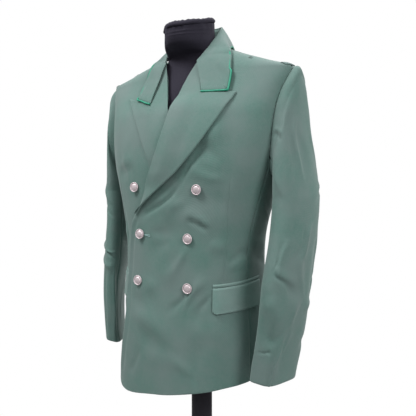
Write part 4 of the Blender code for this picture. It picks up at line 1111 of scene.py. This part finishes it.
def pocket_cloths(side, word):
    """A flap with rounded lower corners, and the narrow jet above it."""
    first = float(angle_at(np.array(FLAP_FRONT_X), np.array(FLAP_TOP[0])))
    t = spread(96, EDGE_STEPS, EDGE_STEPS)[None, :]
    top = FLAP_TOP[0] + (FLAP_TOP[1] - FLAP_TOP[0]) * t
    even = first + (FLAP_BACK_ANGLE - first) * t

    v = spread(40, EDGE_STEPS, EDGE_STEPS)[:, None]
    low = np.clip(1.0 - v * FLAP_DEPTH / FLAP_CORNER, 0.0, 1.0)
    corner = FLAP_CORNER * (1.0 - np.sqrt(1.0 - low**2))
    degrees = even + np.degrees(corner * (1.0 - 2.0 * t) / 0.16)
    height = top - FLAP_DEPTH * (1.0 - v)
    x = skin(degrees, height)[..., 0]
    rise = front_rise(x, height, side) + FLAP_THICKNESS + LAYER + 0.0006 + 0.0010 * (1.0 - v)
    plain = body(degrees, height, rise)
    relief = ripple(x, height, 0.00025, 1.1 * side) + folds(x, height, FLAP_FOLDS)
    relief += edge_relief(plain, columns=((0.0014, 0.0019), (0.0012, 0.0017)),
                          rows=((0.0014, 0.0019), (0.0015, 0.0018)))
    for axis in (0, 1):
        relief += 0.0004 * bump(running(plain, axis), 0.0030, 0.0022)
    grid = raised(plain, relief, normal(degrees, height))
    # The flap wears the body's wool painted lighter, as painted light.
    cloth_shell(word + "_flap_cloth", grid, FLAP_PAINTED_LIGHT_FINISH, replaced=[word + "_pocket_flap"],
                thickness=0.0018, side=side, plain=plain)

    v = spread(16, EDGE_STEPS, EDGE_STEPS)[:, None]
    degrees = even + 0.0 * v
    height = top + 0.0003 + JET_DEPTH * v
    x = skin(degrees, height)[..., 0]
    plain = body(degrees, height, front_rise(x, height, side) + 0.0014 + LAYER)
    relief = 0.0007 * np.sin(math.pi * v) - 0.0007
    relief = relief + edge_relief(plain, rows=((0.0005, 0.0010), (0.0007, 0.0010)))
    grid = raised(plain, relief, normal(degrees, height))
    cloth_shell(word + "_jet_cloth", grid, FLAP_PAINTED_LIGHT_FINISH, replaced=[word + "_pocket_jet"],
                thickness=0.0012, side=side, plain=plain)


def loop_cloth(side, word):
    """The narrow bridge of cloth at the sleeve end of the shoulder."""
    degrees, v = np.meshgrid(np.linspace(75.0, 112.0, 80), spread(12, EDGE_STEPS, EDGE_STEPS))
    height = 0.6850 - 0.0045 * v
    arch = 0.0005 * bump(degrees, 90.0, 20.0)
    plain = body(degrees, height, 0.0010 + LAYER + arch)
    relief = edge_relief(plain, rows=((0.0005, 0.0008), (0.0005, 0.0008)))
    grid = raised(plain, relief, normal(degrees, height))
    cloth_shell(word + "_loop_cloth", grid, LOOP_FINISH, replaced=[word + "_shoulder_loop"],
                thickness=0.0011, side=side, flip=True, plain=plain)


def bead_mesh(name, places, alongs, outs, half_length, half_width, finish):
    """Many small sewn stitches as one piece, each a stretched ball."""
    base = bmesh.new()
    bmesh.ops.create_icosphere(base, subdivisions=1, radius=1.0)
    ball = np.array([v.co[:] for v in base.verts])
    faces = np.array([[v.index for v in f.verts] for f in base.faces])
    base.free()
    places, alongs, outs = (np.asarray(v, dtype=float) for v in (places, alongs, outs))
    sides = unit(np.cross(outs, alongs))
    half_length = np.broadcast_to(half_length, (len(places),))
    spots = (places[:, None] + alongs[:, None] * (ball[None, :, :1] * half_length[:, None, None])
             + sides[:, None] * (ball[None, :, 1:2] * half_width)
             + outs[:, None] * (ball[None, :, 2:] * half_width * 0.8))
    count = len(ball)
    index = (faces[None] + (np.arange(len(places)) * count)[:, None, None]).reshape(-1, 3)
    mesh = bpy.data.meshes.new(name)
    mesh.from_pydata(spots.reshape(-1, 3).tolist(), [], index.tolist())
    return add_piece(name, mesh, finish)


def picked(values, lengths, at):
    """Rows of values at given lengths along their line."""
    return np.stack([np.interp(at, lengths, values[:, k]) for k in range(3)], axis=-1)


def along_line(line, pitch):
    """Places and directions along a polyline at an even pitch."""
    lengths = path_lengths(line)
    at = np.arange(0.0, lengths[-1], pitch)
    ahead, behind = (picked(line, lengths, at + step) for step in (0.0005, -0.0005))
    return picked(line, lengths, at), unit(ahead - behind)


def buttonhole(name, x, height):
    """Worked buttonhole in the left front: stitches round a slit, with a round eye at its end."""
    eye = 0.0021
    turn = np.radians(np.linspace(150.0, -150.0, 41))
    straight = (HOLE_LENGTH - 0.9 * eye) * np.linspace(0.0, 1.0, 31)
    along = np.concatenate([HOLE_LENGTH + eye * np.cos(turn), straight[::-1], (-0.0012, -0.0012),
                            straight])
    off = np.concatenate([eye * np.sin(turn), np.full(31, -0.0010), (-0.0006, 0.0006),
                          np.full(31, 0.0010)])
    gone_x, gone_height = x + along, height - HOLE_SLOPE * along + off
    line = surface_on_body(1, gone_x, gone_height, 0.0006)
    lengths = path_lengths(line)
    at = np.arange(0.0, lengths[-1], 0.00055)
    spots = picked(line, lengths, at)
    facing = unit(picked(normal(angle_at(gone_x, gone_height), gone_height), lengths, at))
    across = unit(np.cross(facing, unit(picked(line, lengths, at + 0.0005) - spots + 1e-9)))
    bead_mesh("buttonhole_" + name, droop(spots), across, facing, 0.00095, 0.00042, THREAD_FINISH)


def slit(name, x, height):
    """Painted shade in the opening between a buttonhole's two rows of stitches."""
    length = HOLE_LENGTH - 0.0010
    t = np.linspace(0.0, 1.0, 24)
    half = 0.00045 + 0.0009 * ease(t, 0.86, 1.0) * (1.0 - ease(t, 0.97, 1.0))
    middle = height - HOLE_SLOPE * length * t
    grid = np.stack([surface_on_body(1, x + length * t, middle + sign * half, 0.0003)
                     for sign in (-1.0, -0.3, 0.3, 1.0)])
    patch("buttonhole_slit_" + name, grid, closed=False, thickness=0.0002)


def patch(name, grid, closed, thickness=None):
    """A small dark surface of painted shade that stands for the shadowed hollow of a hole."""
    coords = np.stack([running(grid, 1), running(grid, 0)], axis=-1)
    piece = add_piece(name, mesh_from_grid(name, droop(grid), coords, False, closed),
                      SHADOW_FINISH)
    if thickness:
        thicken(piece, thickness)


def eyelets(side, word):
    """Two small worked eyelets on the shoulder, for a strap's button."""
    turns = np.linspace(0.0, 2.0 * math.pi, 22, endpoint=False)
    for number, (angle, height) in enumerate(EYELETS, 1):
        degrees = angle + math.degrees(EYELET_RADIUS / 0.11) * np.cos(turns)
        level = height + EYELET_RADIUS * np.sin(turns)
        line, outs = body(degrees, level, 0.0004), normal(degrees, level)
        centre = body(np.array([angle]), np.array([height]), np.array([0.0004]))
        if side < 0:
            line, outs, centre = (v * MIRROR for v in (line, outs, centre))
        bead_mesh(f"{word}_eyelet_{number}", droop(line), unit(line - centre), outs, 0.0006,
                  0.00028, DARK_THREAD_FINISH)
        rings = np.stack([centre + (line - centre) * share for share in (0.05, 0.5, 0.85)])
        # Dark patch of painted shade inside the eyelet.
        patch(f"{word}_eyelet_hole_{number}", rings + 0.0002 * outs, closed=True)


def pick_stitches():
    """Faint hand stitches just inside the collar's and the lapels' edges."""
    place = np.linspace(0.15, 12.9, 300)
    for side, word in SIDES:
        near = collar_surface(side, place, np.full_like(place, 0.915))
        further = collar_surface(side, place, np.full_like(place, 0.90))
        lifted = collar_surface(side, place + 0.02, np.full_like(place, 0.915))
        outs = unit(np.cross(lifted - near, further - near))
        outs *= np.sign(np.sum(outs * (near - np.array([0.0, -0.02, 1.2])), axis=-1))[:, None]
        line = near + outs * 0.00005
        flip = np.array([side, 1.0, 1.0])
        spots, ways = along_line(line * flip, 0.0042)
        index = np.linspace(0, len(outs) - 1, len(spots)).astype(int)
        bead_mesh(f"collar_stitches_{word}", droop(spots), ways, outs[index] * flip, 0.0008,
                  0.00020, THREAD_FINISH)


# ---- buttons ----------------------------------------------------------------
BUTTON_TILT = (0.32, -0.10, 0.06)       # the buttons at x < 0 lean this way on their thread
BUTTON_LIFT = 0.0022                    # and stand off this much, to clear the cloth
# Half section of a button from the middle of its face round to its back: radius and height.
BUTTON_SHAPE = (
    (0.0000, 0.00540), (0.0012, 0.00538), (0.0026, 0.00526), (0.0040, 0.00504), (0.0052, 0.00474),
    (0.0062, 0.00438), (0.0069, 0.00398), (0.0073, 0.00350), (0.0076, 0.00300), (0.0079, 0.00285),
    (0.0083, 0.00300), (0.0087, 0.00360), (0.0091, 0.00400), (0.0096, 0.00412), (0.0101, 0.00395),
    (0.0104, 0.00350), (0.0105, 0.00290), (0.0103, 0.00240), (0.0098, 0.00200), (0.0060, 0.00170),
    (0.0030, 0.00150), (0.0027, 0.00120), (0.0026, 0.00030), (0.0022, 0.00005), (0.0000, 0.00005),
)


def rope_rim(turn, radius, height):
    """A fine twisted rim round the button."""
    rim = bump(radius, 0.0096, 0.0010) * (height > 0.0028)
    return height + 0.00016 * rim * np.sin(40.0 * turn + 900.0 * (radius - 0.0096))


def buttons():
    """Domed metal buttons, each square to the cloth under it."""
    profile = np.array(BUTTON_SHAPE)
    fine = np.linspace(0, len(profile) - 1, 2 * len(profile) - 1)
    profile = np.stack([curve(np.arange(len(profile)), profile[:, k])(fine) for k in (0, 1)],
                       axis=-1)
    for name, x, height in BUTTONS:
        side = -1 if name == "right_top" else 1
        x, height = np.array(x), np.array(height)
        degrees = angle_at(x, height)
        out = normal(degrees, height)
        place = body(degrees, height, front_rise(x, height, side) + REST + 0.0001)
        if x < 0.0:
            out = unit(out + np.array(BUTTON_TILT))
            place = place + BUTTON_LIFT * out
        tilt = Vector(out).to_track_quat("Z", "Y").to_matrix().to_4x4()
        mesh = turned_mesh("button_" + name + "_metal", profile, 160, rope_rim)
        mesh.transform(Matrix.Translation(Vector(place)) @ tilt)
        grid = droop(np.array([v.co[:] for v in mesh.vertices]))
        mesh.vertices.foreach_set("co", grid.reshape(-1))
        add_piece("button_" + name + "_metal", mesh, BUTTON_FINISH,
                  ["button_" + name])


# ---- dress form and stand ---------------------------------------------------
def oval(half_width, front, back, centre_y, power, turn, shrink=1.0):
    """x and y on a level oval of the dress form, turn in radians from the front."""
    side, ahead = np.sin(turn), np.cos(turn)
    depth = np.where(ahead >= 0.0, front, back)
    return (half_width * shrink * signed_power(side, 2.0 / power),
            centre_y - depth * shrink * signed_power(ahead, 2.0 / power))


def form_pieces():
    """The torso and neck in their knitted cover, and the neck's gathered top edge."""
    top = len(FORM) - 1
    place = np.unique(np.append(np.linspace(0.0, top, 90), np.linspace(16.0, top, 76)))
    turn, level = np.meshgrid(np.linspace(0.0, 2.0 * math.pi, 160, endpoint=False), place)
    height, half_width, front, back, centre_y, power = (
        at(level) for at in row_curves(FORM, FORM_COLUMNS).values())
    x, y = oval(half_width, front, back, centre_y, power, turn)
    rise = (y - centre_y) * math.tan(math.radians(NECK_SLOPE)) * ease(height, 0.735, 0.781)
    grid = points(x, y, HEM_HEIGHT + height + rise)
    pull = (0.00045 * np.sin(23.0 * turn + 2.0 * np.sin(3.0 * turn))
            + 0.0006 * np.sin(11.0 * turn + 1.3)) * ease(height, 0.752, 0.781)
    bands = 0.0007 * bump(height, 0.7700, 0.0040) + 0.0005 * bump(height, 0.7605, 0.0035)
    sag = bands * (0.55 + 0.45 * np.sin(2.0 * turn + 0.6))
    outward = unit(grid - points(0.0, centre_y, grid[..., 2]))
    grid = grid + outward * ((pull + sag) * ease(height, 0.735, 0.750))[..., None]
    mesh = capped_mesh("form_torso_cover", droop(grid), np.stack([turn * 0.06, height], axis=-1))
    add_piece("form_torso_cover", mesh, COVER_FINISH, ["form_torso"])
    neck_cap()


KNOB_ANGLE = -72.0              # where the gathered edge is knotted
# Section of the gathered edge: how far out from the neck and above its end.
CAP_COLUMNS = ("out", "lift")
CAP = (
    (-0.0040, 0.0004), (0.0004, 0.0010), (0.0014, 0.0026), (0.0018, 0.0046), (0.0012, 0.0070),
    (-0.0006, 0.0092), (-0.0032, 0.0108), (-0.0062, 0.0114), (-0.0100, 0.0108), (-0.0150, 0.0098),
    (-0.0240, 0.0092), (-0.0350, 0.0092), (-0.0460, 0.0096), (-0.0500, 0.0098),
)


def neck_cap():
    """The knitted cover's rolled, gathered top edge, drawn in over the neck."""
    top_height, half_width, front, back, centre_y, power = FORM[-1]
    place = np.linspace(0, len(CAP) - 1, 48)[:, None]
    out, lift = (at(place) for at in row_curves(CAP, CAP_COLUMNS).values())
    turn = np.linspace(0.0, 2.0 * math.pi, 180, endpoint=False)[None, :]
    gather = np.sin(31.0 * turn + 1.5 * np.sin(4.0 * turn)) + 0.5 * np.sin(19.0 * turn + 0.8)
    lumps = 0.0016 * np.sin(3.0 * turn + 0.9) + 0.0010 * np.sin(7.0 * turn + 2.0)
    knob = bump(np.degrees(np.angle(np.exp(1j * (turn - math.radians(KNOB_ANGLE))))), 0.0, 24.0)
    roll = bump(place, 3.0, 3.6)
    top = ease(place, 4.0, 7.0)
    out = out + roll * (0.0004 + 0.6 * lumps + 0.0046 * knob) + 0.00035 * gather * top * (out < 0.0)
    lift = lift + roll * (0.4 * lumps + 0.0018 * knob) + top * (0.00055 * gather + 0.5 * lumps)
    shrink = np.clip(1.0 + out / 0.0515, 0.02, 2.0)
    x, y = oval(half_width, front, back, centre_y, power, turn, shrink)
    rise = (y - centre_y) * math.tan(math.radians(NECK_SLOPE))
    grid = points(x, y, HEM_HEIGHT + top_height + rise + lift - 0.0002)
    coords = np.stack(np.broadcast_arrays(turn * 0.05, 0.02 - out), axis=-1)
    mesh = capped_mesh("neck_cover_edge", droop(grid), coords)
    add_piece("neck_cover_edge", mesh, COVER_FINISH, ["form_neck_cap"])


def stand_pieces():
    """The round base and the pole with its flared foot."""
    foot, round_edge = BASE_THICKNESS, 0.004
    top = HEM_HEIGHT + FORM[0][0] - REST
    edge = [(BASE_RADIUS - round_edge + round_edge * math.sin(math.radians(a)),
             foot - 0.0060 + round_edge * math.cos(math.radians(a))) for a in range(0, 91, 9)]
    base = [(0.0, foot), (POLE_RADIUS + 0.004, foot), (POLE_RADIUS + 0.030, foot - 0.0004),
            (BASE_RADIUS - 0.010, foot - 0.0018), *edge,
            (BASE_RADIUS, 0.0012), (BASE_RADIUS - 0.0012, 0.0), (0.0, 0.0)]
    flare = ((0.0, 0.40), (0.0010, 0.060), (0.0030, 0.024), (0.0050, 0.012), (0.0060, 0.006),
             (0.0060, REST))
    pole = [(0.0, top), (POLE_RADIUS - 0.0006, top), (POLE_RADIUS, top - 0.0006),
            *((POLE_RADIUS + out, foot + up) for out, up in flare), (0.0, foot + REST)]
    for name, profile, steps, solid in (("stand_base_round", base, 180, "stand_base"),
                                        ("stand_pole_round", pole, 96, "stand_pole")):
        add_piece(name, turned_mesh(name, profile, steps), PAINT_FINISH, [solid])


# ---- materials --------------------------------------------------------------
def finish(name, roughness, metallic=0.0, **sockets):
    """A new material and its shader, with further shader sockets by name."""
    material = bpy.data.materials.new(name)
    material.use_nodes = True
    shader = material.node_tree.nodes["Principled BSDF"]
    for socket, value in (("Roughness", roughness), ("Metallic", metallic), *sockets.items()):
        shader.inputs[socket.replace("_", " ")].default_value = value
    return material, shader


def node(material, kind, **settings):
    """A new node, each setting an input or else a property."""
    made = material.node_tree.nodes.new(kind)
    for name, value in settings.items():
        name_on_node = name.replace("_", " ")
        if name_on_node in made.inputs:
            made.inputs[name_on_node].default_value = value
        else:
            setattr(made, name, value)
    return made


def link(material, output, socket):
    material.node_tree.links.new(output, socket)


def textured(material, kind, space, **settings):
    """Value of a texture node laid over the object's own or the flat cloth's coordinates."""
    place = node(material, "ShaderNodeTexCoord")
    texture = node(material, kind, **settings)
    link(material, place.outputs[space], texture.inputs["Vector"])
    return texture.outputs["Fac"]


def noise(material, scale, detail=2.0):
    """Value of fine noise over the object's own coordinates."""
    return textured(material, "ShaderNodeTexNoise", "Object", Scale=scale, Detail=detail)


def mixed(material, factor, first, second):
    """Colour between two, each a colour or a socket."""
    mix = node(material, "ShaderNodeMix", data_type="RGBA")
    link(material, factor, mix.inputs["Factor"])
    for name, value in (("A", first), ("B", second)):
        socket = [s for s in mix.inputs if s.name == name and s.type == "RGBA"][0]
        if isinstance(value, tuple):
            socket.default_value = (*value, 1.0)
        else:
            link(material, value, socket)
    return [s for s in mix.outputs if s.type == "RGBA"][0]


def ranged(material, value, low=0.3, high=0.7, out_high=1.0):
    """A value stretched from between low and high to between 0 and out_high."""
    ramp = node(material, "ShaderNodeMapRange", From_Min=low, From_Max=high, To_Max=out_high)
    link(material, value, ramp.inputs["Value"])
    return ramp.outputs["Result"]


def bumped(material, shader, heights, distance, strength=1.0):
    """Relief from one texture value or the sum of two."""
    if len(heights) > 1:
        both = node(material, "ShaderNodeMath", operation="ADD")
        for value, socket in zip(heights, both.inputs):
            link(material, value, socket)
        heights = [both.outputs["Value"]]
    relief = node(material, "ShaderNodeBump", Distance=distance, Strength=strength)
    link(material, heights[0], relief.inputs["Height"])
    link(material, relief.outputs["Normal"], shader.inputs["Normal"])


def cloth_finish(name, dark, light, cool, sheen):
    """Wool twill: diagonal ribs, fibre fuzz and slow blue-grey mottling."""
    material, shader = finish(name, 0.82, Sheen_Weight=sheen, Sheen_Roughness=0.45,
                              Sheen_Tint=(0.78, 0.80, 0.80, 1.0), Specular_IOR_Level=0.40)
    twill = textured(material, "ShaderNodeTexWave", "UV", wave_type="BANDS",
                     bands_direction="DIAGONAL", wave_profile="SIN", Scale=200.0, Distortion=0.4,
                     Detail=1.0)
    fibre = noise(material, 900.0, 3.0)
    patches, slub = noise(material, 13.0), noise(material, 120.0)
    tone = mixed(material, ranged(material, fibre), dark, light)
    for value, low, high, share, colour in ((twill, 0.0, 1.0, 0.32, dark),
                                            (slub, 0.35, 0.75, 0.25, cool),
                                            (patches, 0.36, 0.66, 0.60, cool)):
        tone = mixed(material, ranged(material, value, low, high, share), tone, colour)
    link(material, tone, shader.inputs["Base Color"])
    bumped(material, shader, [twill, fibre], 0.00010, 0.8)
    return material


def speckled(name, colours, scale, roughness, relief, strength=1.0, **sockets):
    """A finish that varies between two colours with a fine grain, which is also its relief."""
    material, shader = finish(name, roughness, **sockets)
    grain = noise(material, scale)
    tone = mixed(material, ranged(material, grain), *colours)
    link(material, tone, shader.inputs["Base Color"])
    bumped(material, shader, [grain], relief, strength)
    return material


def shades(colour, *shares):
    """A colour at several strengths."""
    return [tuple(share * c for c in colour) for share in shares]


def thread_finish(name, colour):
    return speckled(name, shades(colour, 0.6, 1.0), 1400.0, 0.60, 0.00008)


def paint_finish(name, colour):
    return speckled(name, shades(colour, 1.0, 1.4), 600.0, 0.62, 0.00004, 0.5,
                    Specular_IOR_Level=0.15)


def metal_finish(name, colour):
    """Dull cast metal, a little darker where it has tarnished."""
    material, shader = finish(name, 0.45, 0.45, Specular_IOR_Level=0.6)
    tone = mixed(material, ranged(material, noise(material, 60.0, 4.0)), *shades(colour, 0.86, 1.0))
    link(material, tone, shader.inputs["Base Color"])
    return material


def knit_finish(name, dark, light):
    """Fine knitted cover: rows of stitches and soft fuzz."""
    material, shader = finish(name, 0.90, Sheen_Weight=0.04, Sheen_Roughness=0.5,
                              Sheen_Tint=(0.55, 0.50, 0.75, 1.0), Specular_IOR_Level=0.15)
    rows = textured(material, "ShaderNodeTexWave", "UV", wave_type="BANDS", bands_direction="Y",
                    Scale=150.0, Distortion=1.5)
    fuzz = noise(material, 700.0)
    tone = mixed(material, ranged(material, fuzz), dark, light)
    link(material, tone, shader.inputs["Base Color"])
    bumped(material, shader, [rows, fuzz], 0.00007)
    return material


# ---- the scene --------------------------------------------------------------
def set_camera():
    """Three-quarter view from the wearer's left front at chest height, as fitted to the photo."""
    turn, distance, height = 0.6438, 1.2, 0.50034
    roll, pitch, yaw = 0.00029, -0.0885, -0.01167
    place = Vector((distance * math.sin(turn), -distance * math.cos(turn), HEM_HEIGHT + height))
    ahead = Matrix.Rotation(yaw, 3, "Z") @ Vector((-math.sin(turn), math.cos(turn), 0.0))
    ahead = Vector((ahead.x * math.cos(pitch), ahead.y * math.cos(pitch), math.sin(pitch)))
    right = ahead.cross(Vector((0.0, 0.0, 1.0))).normalized()
    up = right.cross(ahead)
    right, up = (right * math.cos(roll) + up * math.sin(roll),
                 up * math.cos(roll) - right * math.sin(roll))
    lens = bpy.data.cameras.new("view")
    lens.sensor_width = 36.0
    lens.lens = lens.sensor_width * FOCAL_LENGTH / PICTURE_WIDTH
    lens.clip_start = 0.01
    camera = bpy.data.objects.new("view", lens)
    camera.matrix_world = Matrix((*zip(right, up, -ahead, place), (0.0, 0.0, 0.0, 1.0)))
    bpy.context.scene.collection.objects.link(camera)
    bpy.context.scene.camera = camera


def add_light(name, place, aim, size, power):
    """A round soft lamp."""
    light = bpy.data.lights.new(name, "AREA")
    light.shape, light.size, light.energy = "DISK", size, power
    lamp = bpy.data.objects.new(name, light)
    lamp.location = place
    lamp.rotation_euler = (Vector(aim) - Vector(place)).to_track_quat("-Z", "Y").to_euler()
    bpy.context.scene.collection.objects.link(lamp)


def set_light():
    """Soft studio light: a world brighter overhead and on the backdrop's side, and three lamps."""
    world = bpy.data.worlds.new("studio")
    world.use_nodes = True
    place = node(world, "ShaderNodeTexCoord")
    brighter = node(world, "ShaderNodeMath", operation="MAXIMUM")
    for socket, way, ranges in ((0, UP, SKY_RANGE), (1, BACKDROP_WAY, BACKDROP_RANGE)):
        facing = node(world, "ShaderNodeVectorMath", operation="DOT_PRODUCT")
        facing.inputs[1].default_value = way
        glow = node(world, "ShaderNodeMapRange",
                    **dict(zip(("From_Min", "From_Max", "To_Min", "To_Max"), ranges)))
        link(world, place.outputs["Generated"], facing.inputs[0])
        link(world, facing.outputs["Value"], glow.inputs["Value"])
        link(world, glow.outputs["Result"], brighter.inputs[socket])
    background = world.node_tree.nodes["Background"]
    background.inputs["Color"].default_value = (1.0, 1.0, 1.0, 1.0)
    link(world, brighter.outputs["Value"], background.inputs["Strength"])
    bpy.context.scene.world = world
    bpy.context.scene.view_settings.view_transform = "Standard"
    for light in LIGHTS:
        add_light(*light)


def pale_floor():
    """The plain floor, of the stage only."""
    turns = np.linspace(0.0, 2.0 * math.pi, 96, endpoint=False)
    mesh = bpy.data.meshes.new("floor")
    mesh.from_pydata([(FLOOR_RADIUS * math.cos(a), FLOOR_RADIUS * math.sin(a), 0.0) for a in turns],
                     [], [range(96)])
    floor = bpy.data.objects.new("floor", mesh)
    bpy.context.scene.collection.objects.link(floor)
    material, shader = finish("pale_floor", 0.9)
    tone = mixed(material, noise(material, 3.0), (0.72, 0.72, 0.72), (0.76, 0.76, 0.76))
    link(material, tone, shader.inputs["Base Color"])
    mesh.materials.append(material)


FOCAL_LENGTH = 539.28348        # in pixels of the picture
PICTURE_WIDTH = 416.0
FLOOR_RADIUS = 0.6
SKY_RANGE = (-0.10, 0.95, 0.34, 1.05)   # light by height: from, to, low, high
BACKDROP_WAY = (-0.60, 0.80, 0.0)       # the bright backdrop stands this way
BACKDROP_RANGE = (0.50, 0.78, 0.0, 1.0)
LIGHTS = (                              # name, place, aim, diameter, watts
    ("key", (-0.75, -1.05, 2.55), (0.0, -0.1, 1.2), 0.8, 44.0),
    ("side", (2.2, -0.8, 2.1), (0.1, 0.0, 0.9), 1.0, 42.0),
    ("back", (0.4, 1.6, 2.7), (0.0, 0.0, 1.1), 1.4, 28.0),
)

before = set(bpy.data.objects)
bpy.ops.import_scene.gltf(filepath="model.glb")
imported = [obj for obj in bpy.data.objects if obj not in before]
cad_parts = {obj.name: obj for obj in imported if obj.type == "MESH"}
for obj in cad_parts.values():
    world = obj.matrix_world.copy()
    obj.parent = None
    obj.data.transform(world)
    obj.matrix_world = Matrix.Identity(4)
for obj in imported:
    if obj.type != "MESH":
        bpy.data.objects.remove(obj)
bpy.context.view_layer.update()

CLOTH_FINISH = cloth_finish("green_wool_twill", (0.055, 0.117, 0.101), (0.092, 0.176, 0.152),
                            (0.115, 0.156, 0.150), 0.20)
# Flap and jet: the body's wool painted lighter, as painted light for the light that the flap
# catches.
FLAP_PAINTED_LIGHT_FINISH = cloth_finish("flap_wool_twill_painted_lighter", (0.078, 0.158, 0.138), (0.126, 0.230, 0.202),
                           (0.146, 0.200, 0.190), 0.20)
LOOP_FINISH = cloth_finish("loop_cloth", (0.058, 0.110, 0.098), (0.090, 0.160, 0.142),
                           (0.100, 0.140, 0.138), 0.12)
PIPING_FINISH = thread_finish("bright_green_piping", (0.004, 0.250, 0.150))
THREAD_FINISH = thread_finish("pale_blue_green_thread", (0.260, 0.430, 0.410))
DARK_THREAD_FINISH = thread_finish("dark_thread", (0.020, 0.035, 0.032))
# Near-black painted shade for the inside of the buttonholes and eyelets.
SHADOW_FINISH = thread_finish("painted_shade_in_a_hole", (0.006, 0.010, 0.010))
BUTTON_FINISH = metal_finish("dull_silver", (0.56, 0.485, 0.505))
COVER_FINISH = knit_finish("black_knit", (0.014, 0.013, 0.020), (0.023, 0.021, 0.031))
PAINT_FINISH = paint_finish("black_paint", (0.013, 0.012, 0.016))

for side, word in SIDES:
    front_piece(side, word)
    side_piece(side, word)
    back_piece(side, word)
    pocket_cloths(side, word)
    loop_cloth(side, word)
    eyelets(side, word)
sleeves()
lapel_piece(1, "left", 0.02)
lapel_piece(-1, "right", 0.34, hidden=True)
collar_pieces()
pick_stitches()
for make in (buttonhole, slit):
    for hole in BUTTONHOLES:
        make(*hole)
buttons()
form_pieces()
stand_pieces()
pale_floor()
set_light()
set_camera()
